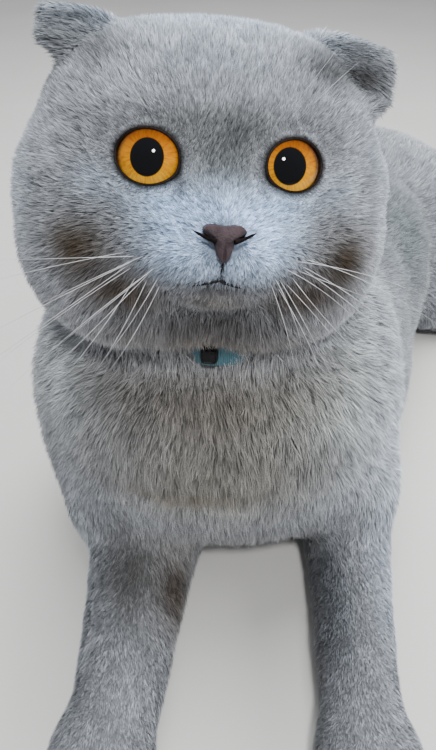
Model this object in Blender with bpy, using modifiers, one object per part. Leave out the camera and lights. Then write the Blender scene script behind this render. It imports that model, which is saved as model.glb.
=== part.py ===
"""A Scottish fold cat at life size, lying on its chest with the forelegs laid forward.

The cat faces -Y and its left side is +X. Lengths are in metres. Each named part of the body
is one closed solid, and touching solids keep a gap of 0.3 mm. The outline is that of the
coat's tips. The underside is cut flat at z = 0, where the cat rests.
"""

import math

import bmesh
import bpy
import numpy as np
from mathutils import Matrix, Vector

# The cat's right is -X and its left is +X
SIDES = {"right": -1, "left": 1}

# Fit between solids
GAP = 0.0003
CUT_SLACK = 1.3

# Head: an upright frame that is turned, raised and tilted as the cat holds it
HEAD_CENTRE = Vector((-0.0050, 0.0, 0.180))
HEAD_YAW, HEAD_PITCH, HEAD_ROLL = math.radians(7.1), math.radians(-20), math.radians(6.0)
HEAD_HALF_WIDTH = 0.0600
HEAD_FRONT, HEAD_BACK = 0.056, 0.060
HEAD_CROWN, HEAD_JAW = 0.0615, 0.0530
HEAD_MIDDLE = -0.010
CROWN_POWER, JAW_POWER = 2.7, 2.8
CHEEK_SWELL, CHEEK_HEIGHT, CHEEK_ABOVE, CHEEK_BELOW = 0.095, -0.012, 0.027, 0.044
HEAD_SEGMENTS, HEAD_RINGS = 38, 24
RING_EVENNESS, RING_POWER = 0.42, 1.9
FACE_ONSET = 2.2

# Hills and hollows of the face: height, place across and up, and spread across and up.
# One that lies off the middle has its twin at the other side.
FACE_HILLS = {
    "muzzle": (0.0075, (0, -0.0175), (0.0220, 0.0135)),
    "whisker_pads": (0.0030, (0.0098, -0.0185), (0.0075, 0.0062)),
    "chin": (0.0040, (0, -0.0305), (0.0105, 0.0050)),
    "bridge": (0.0026, (0, -0.0030), (0.0065, 0.0090)),
    "brows": (0.0016, (0.0190, 0.0210), (0.0130, 0.0060)),
    "cheeks": (0.0035, (0.0420, -0.0220), (0.0180, 0.0180)),
    "eye_hollows": (-0.0040, (0.0203, 0.0080), (0.0120, 0.0105)),
    "stop": (-0.0012, (0, 0.0110), (0.0080, 0.0090)),
    "under_chin": (-0.0030, (0, -0.0385), (0.0200, 0.0030)),
    "throat_ruff": (0.0022, (0, -0.0470), (0.0340, 0.0070)),
    "below_ruff": (-0.0060, (0, -0.0600), (0.0300, 0.0090)),
}

# Features of the face, measured across (x) and up (z) in the head's frame
EYE_SPACING, EYE_HEIGHT = 0.0374, 0.0061
EYEBALL_RADIUS, EYE_DEPTH = 0.0122, -0.0400
EYE_SPLAY = math.radians(4)
LID_HALF_WIDTH, LID_HALF_HEIGHT, LID_THICKNESS = 0.0120, 0.0104, 0.0013
LID_STEPS, LID_SIDES = 20, 6
NOSE_WIDTH, NOSE_HEIGHT, NOSE_DEPTH = 0.0150, 0.0104, 0.0090
NOSE_PLACE = Vector((0.0, -0.0628, -0.0125))
NOSE_SHARE_BELOW, NOSE_FLARE = 0.48, 2.2
NOSTRIL_PLACE, NOSTRIL_SPREAD, NOSTRIL_DEPTH = (0.0050, -0.0006), (0.0013, 0.0017), 0.0026
MOUTH_HEIGHT, MOUTH_DROP, MOUTH_HALF_WIDTH, LIP_GAP = -0.0222, 0.0030, 0.0150, 0.0011

# Ears: where the root, the fold's crest and the tip lie, inner end to outer end
EAR_THICKNESS = 0.0050
EAR_LINES = {
    "right": {
        "root": ((0.026, 0.012, 0.0410), (0.0450, 0.012, 0.0230)),
        "crest": ((0.0295, 0.003, 0.0470), (0.0535, 0.003, 0.0475)),
        "tip": ((0.0410, -0.0145, 0.0405), (0.0530, -0.0130, 0.0390)),
    },
    "left": {
        "root": ((0.029, 0.012, 0.0400), (0.0470, 0.012, 0.0210)),
        "crest": ((0.0325, 0.003, 0.0480), (0.0605, 0.003, 0.0440)),
        "tip": ((0.0460, -0.0155, 0.0300), (0.0565, -0.0130, 0.0265)),
    },
}
EAR_CREST_ARCH, EAR_TIP_ARCH = Vector((0, -0.0015, 0.0015)), Vector((0, -0.0035, -0.0040))
EAR_ACROSS, EAR_DOWN = 7, 9

# Neck and collar
COLLAR_CENTRE = Vector((0.000, 0.0070, 0.1400))
COLLAR_TILT = math.radians(3)
COLLAR_RADII = (0.0530, 0.0520)
COLLAR_HEIGHT, COLLAR_THICKNESS = 0.0095, 0.0022
COLLAR_STEPS = 32
BUCKLE_SIZE = (0.0085, 0.0060, 0.0085)
BUCKLE_ANGLE, BUCKLE_ROUNDING = math.radians(-6), 0.0008

# Body: the rear is swung towards the cat's left
REAR_HEADING = math.radians(30)
PELVIS = Vector((0.100, 0.230, 0.0))

# Masses that are blended into the body: centre, half sizes, share of the rear's heading, power
TRUNK_MASSES = {
    "breast": ((0.001, 0.014, 0.086), (0.083, 0.079, 0.063), 0, 2.2),
    "breast_front": ((0.001, -0.020, 0.094), (0.067, 0.047, 0.045), 0, 2.2),
    "brisket": ((0.003, -0.006, 0.052), (0.066, 0.053, 0.030), 0, 2.3),
    "throat": ((-0.001, 0.022, 0.138), (0.058, 0.058, 0.042), 0, 2.0),
    "nape": ((0.006, 0.062, 0.112), (0.066, 0.068, 0.036), 0, 2.0),
    "ribs": ((0.024, 0.084, 0.068), (0.081, 0.090, 0.069), 0.36, 2.4),
    "belly": ((0.030, 0.085, 0.034), (0.085, 0.080, 0.042), 0.36, 2.4),
    "loins": ((0.050, 0.135, 0.062), (0.080, 0.090, 0.067), 0.72, 2.4),
    "shoulder_right": ((-0.056, 0.012, 0.072), (0.030, 0.044, 0.060), 0, 2.2),
    "shoulder_left": ((0.056, 0.012, 0.072), (0.030, 0.044, 0.060), 0, 2.2),
    "elbow_right": ((-0.047, -0.010, 0.036), (0.028, 0.040, 0.042), 0, 2.1),
    "elbow_left": ((0.060, -0.010, 0.036), (0.028, 0.040, 0.042), 0, 2.1),
}
# The same by the pelvis: place out to the side, forward and up, half sizes, power
REAR_MASSES = {
    "rump": ((-0.002, 0.022, 0.058), (0.079, 0.090, 0.063), 2.3),
    "croup": ((0, -0.030, 0.052), (0.064, 0.064, 0.055), 2.2),
    "tail_root": ((0, -0.062, 0.042), (0.040, 0.040, 0.042), 2.0),
    "haunch": ((0.052, 0.002, 0.050), (0.047, 0.070, 0.058), 2.2),
    "knee": ((0.074, 0.032, 0.034), (0.028, 0.032, 0.037), 2.1),
}
BODY_VOXEL, BODY_SMOOTHING = 0.0045, 40
BODY_TRIANGLES = 2000

# Legs and tail
ELBOW_BACK, WRIST_FRONT, TOE_FRONT = -0.004, -0.104, -0.156
FORELEG_ACROSS = {"right": (-0.030, -0.0385, -0.0430), "left": (0.063, 0.0555, 0.0555)}
FORELEG_RADII = {"right": (0.0335, 0.0240, 0.0185), "left": (0.0250, 0.0190, 0.0165)}
FORELEG_LIFT = 0.88
PALM_HALF, PALM_HEIGHT, PALM_BACK = (0.0205, 0.0260, 0.0150), 0.0125, 0.0280
PAW_TOE_HALF, PAW_TOE_SPACING, PAW_TOE_HEIGHT = (0.0062, 0.0115, 0.0105), 0.0095, 0.0090
SOLE_HALF, SOLE_HEIGHT, SOLE_BACK = (0.0160, 0.0380, 0.0155), 0.0115, 0.0400
FOOT_TOE_HALF, FOOT_TOE_SPACING, FOOT_TOE_HEIGHT = (0.0054, 0.0115, 0.0098), 0.0082, 0.0085
FOOT_ACROSS, FOOT_AHEAD = 0.0890, 0.0480
OUTER_TOE_BACK = 0.0032
TAIL_ROUTE = (
    (0.128, 0.290, 0.042),
    (0.146, 0.318, 0.026),
    (0.180, 0.334, 0.019),
    (0.222, 0.316, 0.018),
    (0.246, 0.272, 0.018),
    (0.248, 0.224, 0.0175),
    (0.232, 0.186, 0.017),
)
TAIL_ROOT_RADIUS, TAIL_TIP_RADIUS = 0.0235, 0.0175
TAIL_STEPS, TAIL_SIDES = 26, 12

# Where the body and the tail are parted
SHOULDER_PLACES = {"right": (-0.066, 0.002, 0.050), "left": (0.071, 0.002, 0.050)}
SHOULDER_HALF = (0.034, 0.046, 0.058)
HAUNCH_PLACE, HAUNCH_HALF = (0.072, 0.004, 0.050), (0.038, 0.066, 0.066)
WAIST = (0.045, 0.120, 0)
TAIL_BASE_END, TAIL_MIDDLE_END = 0.186, 0.252
NECK_BELOW_COLLAR = 0.0071

# Colours as linear red, green and blue, with roughness
COAT_GREY = (0.300, 0.310, 0.335)
AMBER = (0.620, 0.300, 0.030)
NOSE_LEATHER = (0.120, 0.078, 0.080)
TEAL = (0.045, 0.190, 0.250)
BLACK = (0.010, 0.010, 0.012)


def clear_scene():
    for thing in list(bpy.data.objects):
        bpy.data.objects.remove(thing, do_unlink=True)
    for group in list(bpy.data.collections):
        bpy.data.collections.remove(group)


def new_collection(name):
    group = bpy.data.collections.new(name)
    bpy.context.scene.collection.children.link(group)
    return group


def principled(name, colour, roughness, metallic=0.0):
    material = bpy.data.materials.new(name)
    material.use_nodes = True
    shader = material.node_tree.nodes["Principled BSDF"]
    shader.inputs["Base Color"].default_value = (*colour, 1.0)
    shader.inputs["Roughness"].default_value = roughness
    shader.inputs["Metallic"].default_value = metallic
    material.diffuse_color = (*colour, 1.0)
    return material


def object_from(bm, name, group):
    bm.normal_update()
    mesh = bpy.data.meshes.new(name)
    bm.to_mesh(mesh)
    bm.free()
    thing = bpy.data.objects.new(name, mesh)
    group.objects.link(thing)
    return thing


def vertices_of(mesh):
    places = np.empty(len(mesh.vertices) * 3)
    mesh.vertices.foreach_get("co", places)
    return places.reshape(-1, 3)


def set_vertices(mesh, places):
    mesh.vertices.foreach_set("co", np.asarray(places, dtype=float).ravel())
    mesh.update()


def evaluated(thing):
    """The object's mesh with its modifiers, in world space, as a new mesh."""
    graph = bpy.context.evaluated_depsgraph_get()
    mesh = bpy.data.meshes.new_from_object(thing.evaluated_get(graph))
    mesh.transform(thing.matrix_world)
    return mesh


def settle(thing):
    """Apply the object's modifiers and its placement."""
    mesh = evaluated(thing)
    thing.modifiers.clear()
    thing.data = mesh
    thing.matrix_world = Matrix.Identity(4)


def keep_largest(thing):
    """Keep the closed surface with the largest box, and drop scraps and sealed hollows."""
    bm = bmesh.new()
    bm.from_mesh(thing.data)
    bmesh.ops.remove_doubles(bm, verts=bm.verts, dist=0.00001)
    bmesh.ops.dissolve_degenerate(bm, edges=bm.edges, dist=0.00001)
    unseen = set(bm.verts)
    islands = []
    while unseen:
        stack = [unseen.pop()]
        island = list(stack)
        while stack:
            for edge in stack.pop().link_edges:
                for vertex in edge.verts:
                    if vertex in unseen:
                        unseen.remove(vertex)
                        stack.append(vertex)
                        island.append(vertex)
        islands.append(island)
    islands.sort(key=box_diagonal, reverse=True)
    for island in islands[1:]:
        bmesh.ops.delete(bm, geom=island, context="VERTS")
    bmesh.ops.triangulate(bm, faces=bm.faces)
    bm.to_mesh(thing.data)
    bm.free()
    thing.data.update()


def box_diagonal(island):
    places = np.array([vertex.co for vertex in island])
    return float(np.linalg.norm(places.max(axis=0) - places.min(axis=0)))


def solid_volume(mesh):
    """The volume inside the mesh, or zero if it has no faces or an open edge."""
    bm = bmesh.new()
    bm.from_mesh(mesh)
    sound = len(bm.faces) > 0 and all(edge.is_manifold for edge in bm.edges)
    volume = bm.calc_volume(signed=True) if sound else 0.0
    bm.free()
    return volume


def boolean(thing, other, operation):
    """Cut, join or intersect thing with another object, by the first solver that does it."""
    before = thing.data
    whole, tool = solid_volume(before), solid_volume(other.data)
    least = {"DIFFERENCE": whole - tool * 1.05, "UNION": whole * 0.99, "INTERSECT": 0.0}[operation]
    for solver in ("EXACT", "MANIFOLD"):
        thing.data = before.copy()
        modifier = thing.modifiers.new("shape", "BOOLEAN")
        modifier.operation = operation
        modifier.solver = solver
        modifier.object = other
        settle(thing)
        volume = solid_volume(thing.data)
        if volume > max(least, 0.0):
            return
        print(operation, "of", thing.name, "and", other.name, "not done by", solver)


def union_all(first, others):
    """Join a collection of closed pieces into one closed solid, and drop the pieces."""
    pieces = bpy.data.collections.new("pieces")
    bpy.context.scene.collection.children.link(pieces)
    for piece in others:
        for owner in list(piece.users_collection):
            owner.objects.unlink(piece)
        pieces.objects.link(piece)
    modifier = first.modifiers.new("join", "BOOLEAN")
    modifier.operation = "UNION"
    modifier.operand_type = "COLLECTION"
    modifier.collection = pieces
    modifier.solver = "EXACT"
    settle(first)
    for piece in list(pieces.objects):
        bpy.data.objects.remove(piece, do_unlink=True)
    bpy.data.collections.remove(pieces)
    keep_largest(first)


def grown_copy(thing, distance, group):
    """A cutter: the same solid with its surface moved outwards."""
    copy = thing.copy()
    copy.data = thing.data.copy()
    copy.name = thing.name + ".grown"
    group.objects.link(copy)
    bm = bmesh.new()
    bm.from_mesh(copy.data)
    bm.normal_update()
    for vertex in bm.verts:
        vertex.co += vertex.normal * distance * vertex.calc_shell_factor()
    bm.to_mesh(copy.data)
    bm.free()
    copy.hide_render = True
    copy.display_type = "WIRE"
    return copy


def clear_of(thing, others, group):
    """Cut thing back from its neighbours, leaving the gap that touching solids keep."""
    for other in others:
        cutter = grown_copy(other, GAP * CUT_SLACK, group)
        boolean(thing, cutter, "DIFFERENCE")
        bpy.data.objects.remove(cutter, do_unlink=True)
    keep_largest(thing)


def carve(whole, region, name, group, cutters):
    """Take the part of whole inside region out as its own solid."""
    piece = whole.copy()
    piece.data = whole.data.copy()
    piece.name = name
    group.objects.link(piece)
    boolean(piece, region, "INTERSECT")
    keep_largest(piece)
    wider = grown_copy(region, GAP, cutters)
    boolean(whole, wider, "DIFFERENCE")
    keep_largest(whole)
    bpy.data.objects.remove(wider, do_unlink=True)
    bpy.data.objects.remove(region, do_unlink=True)
    return piece


def turned(heading):
    return Matrix.Rotation(-heading, 4, "Z")


def ball(name, group, centre, radii, heading=0.0, tilt=0.0, power=2.0, segments=28, rings=18):
    """An ellipsoid, or a boxier one where power is over 2, turned about Z and then tilted."""
    bm = bmesh.new()
    bmesh.ops.create_uvsphere(bm, u_segments=segments, v_segments=rings, radius=1.0)
    for vertex in bm.verts:
        size = sum(abs(value) ** power for value in vertex.co) ** (1 / power)
        vertex.co = Vector(value * radius / size for value, radius in zip(vertex.co, radii))
    turn = turned(heading) @ Matrix.Rotation(tilt, 4, "X")
    bmesh.ops.transform(bm, matrix=Matrix.Translation(centre) @ turn, verts=bm.verts)
    return object_from(bm, name, group)


def box(name, group, low, high, turn=None):
    bm = bmesh.new()
    bmesh.ops.create_cube(bm, size=1.0)
    size = [b - a for a, b in zip(low, high)]
    middle = [(a + b) / 2 for a, b in zip(low, high)]
    scale = Matrix.Diagonal((*size, 1.0))
    bmesh.ops.transform(bm, matrix=Matrix.Translation(middle) @ scale, verts=bm.verts)
    if turn is not None:
        bmesh.ops.transform(bm, matrix=turn, verts=bm.verts)
    return object_from(bm, name, group)


def smooth_route(points, count):
    """Places along a smooth curve through the points, evenly spread by index."""
    points = np.array(points)
    padded = np.vstack([2 * points[0] - points[1], points, 2 * points[-1] - points[-2]])
    where = np.linspace(0, len(points) - 1 - 1e-9, count)
    start = where.astype(int)
    t = (where - start)[:, None]
    a, b, c, d = (padded[start + k] for k in range(4))
    return 0.5 * (
        2 * b + (c - a) * t + (2 * a - 5 * b + 4 * c - d) * t**2 + (3 * b - a - 3 * c + d) * t**3
    )


def upright_route(route):
    return np.ptp(route[:, 2]) > np.ptp(route[:, :2], axis=0).max()


def tapered_tube(name, group, points, radii, flatten=1.0, sides=16, count=14, round_end=True):
    """A loft of rings along a smooth route, closed by a cap at each end."""
    route = smooth_route(points, count)
    size = smooth_route([(r, 0, 0) for r in radii], count)[:, 0]
    along = np.gradient(route, axis=0)
    along /= np.linalg.norm(along, axis=1)[:, None]
    steady = (0.0, 1.0, 0.0) if upright_route(route) else (0.0, 0.0, 1.0)
    across = np.cross(along, steady)
    across /= np.linalg.norm(across, axis=1)[:, None]
    above = np.cross(across, along)
    bm = bmesh.new()
    rings = []
    for place, side, up, radius in zip(route, across, above, size):
        ring = []
        for k in range(sides):
            angle = 2 * math.pi * k / sides
            offset = side * math.cos(angle) + up * math.sin(angle) * flatten
            ring.append(bm.verts.new(place + offset * radius))
        rings.append(ring)
    for near, far in zip(rings, rings[1:]):
        for k in range(sides):
            bm.faces.new((near[k], near[(k + 1) % sides], far[(k + 1) % sides], far[k]))
    for ring, outward in ((rings[0], -along[0]), (rings[-1], along[-1])):
        middle = sum((vertex.co for vertex in ring), Vector()) / sides
        bulge = size[-1] * (0.35 if round_end else 0.0)
        tip = bm.verts.new(middle + Vector(outward) * bulge)
        for k in range(sides):
            bm.faces.new((ring[k], ring[(k + 1) % sides], tip))
    bmesh.ops.recalc_face_normals(bm, faces=bm.faces)
    return object_from(bm, name, group)


def head_matrix():
    """The head's place: rolled about its own length, then raised, then turned aside."""
    roll = Matrix.Rotation(HEAD_ROLL, 4, "Y")
    pitch = Matrix.Rotation(HEAD_PITCH, 4, "X")
    yaw = Matrix.Rotation(HEAD_YAW, 4, "Z")
    return Matrix.Translation(HEAD_CENTRE) @ yaw @ pitch @ roll


def bump(x, z, place, spread):
    """A smooth hill of height one at place, with its spread across and up."""
    return np.exp(-(((x - place[0]) / spread[0]) ** 2) - ((z - place[1]) / spread[1]) ** 2)


def pair(x, z, place, spread):
    return bump(x, z, place, spread) + bump(x, z, (-place[0], place[1]), spread)


def face_relief(x, z):
    """How far the face stands out ahead of the plain head, in metres, at each x and z."""
    relief = 0.0
    for height, place, spread in FACE_HILLS.values():
        hill = pair(x, z, place, spread) if place[0] else bump(x, z, place, spread)
        relief = relief + height * hill
    return relief


def swell(z):
    """How far the cheeks spread at a height above the head's middle, at most one."""
    height = z + HEAD_MIDDLE - CHEEK_HEIGHT
    reach = np.where(height > 0, CHEEK_ABOVE, CHEEK_BELOW)
    return np.exp(-((height / reach) ** 4))


def outline_share(x, z):
    """The square of how near x and z come to the head's outline seen from the front."""
    tall = np.where(z > 0, HEAD_CROWN, HEAD_JAW)
    power = np.where(z > 0, CROWN_POWER, JAW_POWER)
    return ((np.abs(x) / HEAD_HALF_WIDTH) ** power + (np.abs(z) / tall) ** power) ** (2 / power)


def face_depth(x, z):
    """The y of the head's front at x and z, in the head's frame."""
    height = z - HEAD_MIDDLE
    share = outline_share(x / (1 + CHEEK_SWELL * swell(height)), height)
    return -HEAD_FRONT * np.sqrt(np.maximum(1 - share, 0)) - face_relief(x, z)


def head_surface(ways):
    """Points of the head for unit directions from its middle, in the head's frame."""
    x, y, z = ways.T
    deep = np.where(y < 0, HEAD_FRONT, HEAD_BACK)
    size = 1 / np.sqrt(outline_share(x, z) + (y / deep) ** 2)
    places = ways * size[:, None]
    places[:, 0] *= 1 + CHEEK_SWELL * swell(places[:, 2])
    places[:, 2] += HEAD_MIDDLE
    facing = np.clip(-y * FACE_ONSET, 0, 1)
    facing = facing * facing * (3 - 2 * facing)
    places[:, 1] -= face_relief(places[:, 0], places[:, 2]) * facing
    return places


def make_head(group):
    """A ball whose rings gather round the muzzle, pushed out to the shape of the head."""
    bm = bmesh.new()
    bmesh.ops.create_uvsphere(bm, u_segments=HEAD_SEGMENTS, v_segments=HEAD_RINGS, radius=1.0)
    head = object_from(bm, "head", group)
    ways = vertices_of(head.data)
    from_pole = np.arccos(np.clip(ways[:, 2], -1, 1)) / math.pi
    drawn = (1 - RING_EVENNESS) * from_pole**RING_POWER
    gathered = math.pi * (RING_EVENNESS * from_pole + drawn)
    turn = np.arctan2(ways[:, 1], ways[:, 0])
    ways = np.column_stack(
        [np.sin(gathered) * np.cos(turn), -np.cos(gathered), np.sin(gathered) * np.sin(turn)]
    )
    set_vertices(head.data, head_surface(ways))
    bm = bmesh.new()
    bm.from_mesh(head.data)
    bmesh.ops.recalc_face_normals(bm, faces=bm.faces)
    bm.to_mesh(head.data)
    bm.free()
    return head


def cut_mouth(head, cutters):
    """Cut the line of the mouth, an arch that falls to each side, and the cleft above it."""
    across = np.linspace(-MOUTH_HALF_WIDTH, MOUTH_HALF_WIDTH, 9)
    level = MOUTH_HEIGHT - MOUTH_DROP * (np.abs(across) / 0.010) ** 1.3
    lips = np.column_stack([across, face_depth(across, level), level])
    height = np.linspace(NOSE_PLACE.z - NOSE_HEIGHT / 2, MOUTH_HEIGHT, 4)
    cleft = np.column_stack([0 * height, face_depth(0 * height, height), height])
    gaps = LIP_GAP * np.array([0.4, 0.8, 1, 1, 1, 1, 1, 0.8, 0.4])
    for route, sizes in ((lips, gaps), (cleft, [LIP_GAP * 0.7] * 4)):
        groove = tapered_tube(
            "groove", cutters, route, sizes, sides=6, count=len(route) * 2, round_end=False
        )
        boolean(head, groove, "DIFFERENCE")
        bpy.data.objects.remove(groove, do_unlink=True)
        keep_largest(head)


def eye_matrix(side):
    place = Vector((side * EYE_SPACING / 2, EYE_DEPTH, EYE_HEIGHT))
    return Matrix.Translation(place) @ Matrix.Rotation(side * EYE_SPLAY, 4, "Z")


def make_eye(side, name, group):
    """An eyeball with its pole forward, where the fine rings are."""
    bm = bmesh.new()
    bmesh.ops.create_uvsphere(bm, u_segments=18, v_segments=11, radius=EYEBALL_RADIUS)
    pole_forward = Matrix.Rotation(math.radians(90), 4, "X")
    bmesh.ops.transform(bm, matrix=eye_matrix(side) @ pole_forward, verts=bm.verts)
    return object_from(bm, name, group)


def make_lids(side, group):
    """A soft rim round the opening of one eye, lying on the eyeball."""
    bpy.ops.mesh.primitive_torus_add(
        major_segments=LID_STEPS, minor_segments=LID_SIDES, major_radius=1.0, minor_radius=0.2
    )
    ring = bpy.context.object
    for owner in list(ring.users_collection):
        owner.objects.unlink(ring)
    group.objects.link(ring)
    x, y, z = vertices_of(ring.data).T
    turn = np.arctan2(y, x)
    outward = (np.hypot(x, y) - 1.0) / 0.2
    pointed = 1 + 0.10 * np.clip(-np.cos(turn) * side, 0, 1) ** 4
    across = (LID_HALF_WIDTH * pointed + LID_THICKNESS * outward) * np.cos(turn)
    up = (LID_HALF_HEIGHT + LID_THICKNESS * outward) * np.sin(turn)
    ball_front = np.sqrt(np.maximum((EYEBALL_RADIUS + 0.0004) ** 2 - across**2 - up**2, 2.0e-5))
    set_vertices(ring.data, np.column_stack([across, -(ball_front + z / 0.2 * LID_THICKNESS), up]))
    bm = bmesh.new()
    bm.from_mesh(ring.data)
    bmesh.ops.transform(bm, matrix=eye_matrix(side), verts=bm.verts)
    bmesh.ops.recalc_face_normals(bm, faces=bm.faces)
    bm.to_mesh(ring.data)
    bm.free()
    return ring


def make_nose(group, nostril_depth=NOSTRIL_DEPTH):
    """The leather of the nose: broad above, narrow below, with a nostril at each side."""
    bm = bmesh.new()
    bmesh.ops.create_uvsphere(bm, u_segments=18, v_segments=12, radius=1.0)
    nose = object_from(bm, "nose", group)
    x, z, y = vertices_of(nose.data).T
    broad = 0.5 + 0.5 * np.tanh(NOSE_FLARE * (z + 0.15))
    taper = NOSE_SHARE_BELOW + (1 - NOSE_SHARE_BELOW) * broad
    wide, tall, deep = x * taper * NOSE_WIDTH / 2, z * NOSE_HEIGHT / 2, -y * NOSE_DEPTH / 2
    nostril = pair(wide, tall, NOSTRIL_PLACE, NOSTRIL_SPREAD)
    deep = deep + np.where(y > 0, nostril_depth * nostril, 0)
    set_vertices(nose.data, np.column_stack([wide, deep, tall]) + np.array(NOSE_PLACE))
    bm = bmesh.new()
    bm.from_mesh(nose.data)
    bmesh.ops.recalc_face_normals(bm, faces=bm.faces)
    bm.to_mesh(nose.data)
    bm.free()
    return nose


def ear_line(lines, row, u):
    """A place along one of the ear's lines, from its inner end at 0 to its outer end at 1."""
    return Vector(lines[row][0]).lerp(Vector(lines[row][1]), u)


def make_ear(side, name, group):
    """A thin leaf that rises from its root, folds at the crest and narrows to its hung tip."""
    lines = EAR_LINES[name]
    bm = bmesh.new()
    bmesh.ops.create_grid(bm, x_segments=EAR_ACROSS, y_segments=EAR_DOWN, size=0.5)
    for vertex in bm.verts:
        u, v = vertex.co.x + 0.5, vertex.co.y + 0.5
        arch = math.sin(math.pi * u)
        root = ear_line(lines, "root", u)
        crest = ear_line(lines, "crest", u) + EAR_CREST_ARCH * arch
        tip = ear_line(lines, "tip", u) + EAR_TIP_ARCH * arch
        peak = crest * 2 - (root + tip) / 2
        place = root * (1 - v) ** 2 + peak * 2 * v * (1 - v) + tip * v**2
        vertex.co = Vector((place.x * side, place.y, place.z))
    ear = object_from(bm, f"ear_{name}", group)
    shell = ear.modifiers.new("thickness", "SOLIDIFY")
    shell.thickness = EAR_THICKNESS
    shell.offset = 0.0
    settle(ear)
    bm = bmesh.new()
    bm.from_mesh(ear.data)
    bmesh.ops.triangulate(bm, faces=bm.faces)
    bmesh.ops.recalc_face_normals(bm, faces=bm.faces)
    bm.to_mesh(ear.data)
    bm.free()
    return ear


def collar_matrix():
    return Matrix.Translation(COLLAR_CENTRE) @ Matrix.Rotation(COLLAR_TILT, 4, "X")


def make_collar(group):
    """A flat band bent into an oval ring, from a turned section."""
    bm = bmesh.new()
    half_thick, half_high = COLLAR_THICKNESS / 2, COLLAR_HEIGHT / 2
    outer = [(half_thick, -half_high), (half_thick, half_high)]
    section = outer + [(-x, -z) for x, z in outer]
    corners = [bm.verts.new((1.0 + x, 0.0, z)) for x, z in section]
    edges = [bm.edges.new((corners[k], corners[(k + 1) % 4])) for k in range(4)]
    bmesh.ops.spin(
        bm,
        geom=edges + corners,
        cent=(0, 0, 0),
        axis=(0, 0, 1),
        angle=2 * math.pi,
        steps=COLLAR_STEPS,
        use_merge=True,
        use_duplicate=False,
    )
    for vertex in bm.verts:
        reach = math.hypot(vertex.co.x, vertex.co.y)
        beyond = reach - 1.0
        way = Vector((vertex.co.x / reach, vertex.co.y / reach, 0))
        vertex.co = Vector(
            (way.x * (COLLAR_RADII[0] + beyond), way.y * (COLLAR_RADII[1] + beyond), vertex.co.z)
        )
    bmesh.ops.remove_doubles(bm, verts=bm.verts, dist=0.00001)
    bmesh.ops.recalc_face_normals(bm, faces=bm.faces)
    bmesh.ops.transform(bm, matrix=collar_matrix(), verts=bm.verts)
    return object_from(bm, "collar", group)


def make_buckle(group):
    """A small dark slide on the front of the band."""
    wide, deep, high = (value / 2 for value in BUCKLE_SIZE)
    buckle = box("collar_buckle", group, (-wide, -deep, -high), (wide, deep, high))
    bevel = buckle.modifiers.new("rounding", "BEVEL")
    bevel.width = BUCKLE_ROUNDING
    bevel.segments = 2
    place = Vector((0, -COLLAR_RADII[1], 0))
    around = Matrix.Rotation(BUCKLE_ANGLE, 4, "Z")
    buckle.matrix_world = collar_matrix() @ around @ Matrix.Translation(place)
    bpy.context.view_layer.update()
    settle(buckle)
    return buckle


def rear_place(lateral, forward, height):
    """A place by the pelvis: out to the cat's left, forward and up, in the rear's heading."""
    way = Vector((-math.sin(REAR_HEADING), -math.cos(REAR_HEADING), 0))
    side = Vector((math.cos(REAR_HEADING), -math.sin(REAR_HEADING), 0))
    return PELVIS + side * lateral + way * forward + Vector((0, 0, height))


def body_balls(group):
    """The masses of the trunk, shoulders and haunches that are blended into one body."""
    balls = []
    for name, (centre, half, share, power) in TRUNK_MASSES.items():
        balls.append(ball(name, group, centre, half, REAR_HEADING * share, power=power))
    for name, (place, half, power) in REAR_MASSES.items():
        sides = (-1, 1) if place[0] > 0 else (1,)
        for side in sides:
            centre = rear_place(place[0] * side, *place[1:])
            balls.append(ball(name, group, centre, half, REAR_HEADING, power=power))
    return balls


def make_body(group):
    """Blend the masses: remesh their union, smooth it and thin the mesh."""
    balls = body_balls(group)
    bm = bmesh.new()
    for mass in balls:
        bm.from_mesh(mass.data)
    for mass in balls:
        bpy.data.objects.remove(mass, do_unlink=True)
    body = object_from(bm, "body", group)
    remesh = body.modifiers.new("blend", "REMESH")
    remesh.mode = "VOXEL"
    remesh.voxel_size = BODY_VOXEL
    smooth = body.modifiers.new("soften", "SMOOTH")
    smooth.factor = 0.5
    smooth.iterations = BODY_SMOOTHING
    settle(body)
    faces = sum(len(face.vertices) - 2 for face in body.data.polygons)
    thin = body.modifiers.new("thin", "DECIMATE")
    thin.ratio = BODY_TRIANGLES / faces
    settle(body)
    keep_largest(body)
    return body


def with_toes(thing, front, heading, half, spacing, height, group):
    """Join four toes to a foot, the outer two a little further back, facing a heading."""
    way = Vector((-math.sin(heading), -math.cos(heading), 0))
    across = Vector((way.y, -way.x, 0))
    toes = []
    for k in range(4):
        back = half[1] + (OUTER_TOE_BACK if k in (0, 3) else 0.0)
        centre = front - way * back + across * (k - 1.5) * spacing + Vector((0, 0, height))
        toes.append(ball(f"toe{k}", group, centre, half, heading, segments=8, rings=6))
    union_all(thing, toes)


def make_foreleg(name, group):
    """A forearm laid on the floor with its paw and four toes, in one piece."""
    elbow, wrist, paw = FORELEG_ACROSS[name]
    thick, middling, thin = FORELEG_RADII[name]
    heights = [radius * FORELEG_LIFT for radius in (thick, middling, thin)]
    points = [
        (elbow, ELBOW_BACK, heights[0]),
        ((elbow + wrist) / 2, (ELBOW_BACK + WRIST_FRONT) / 2, heights[1]),
        (wrist, WRIST_FRONT, heights[2]),
        (paw, TOE_FRONT + PALM_BACK, heights[2] * 0.92),
    ]
    sizes = (thick, middling, thin, thin * 0.9)
    leg = tapered_tube("leg", group, points, sizes, flatten=0.95, sides=14, count=9)
    middle = (paw, TOE_FRONT + PALM_BACK, PALM_HEIGHT)
    palm = ball("palm", group, middle, PALM_HALF, power=2.3, segments=14, rings=8)
    union_all(leg, [palm])
    front = Vector((paw, TOE_FRONT, 0))
    with_toes(leg, front, 0.0, PAW_TOE_HALF, PAW_TOE_SPACING, PAW_TOE_HEIGHT, group)
    return leg


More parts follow.
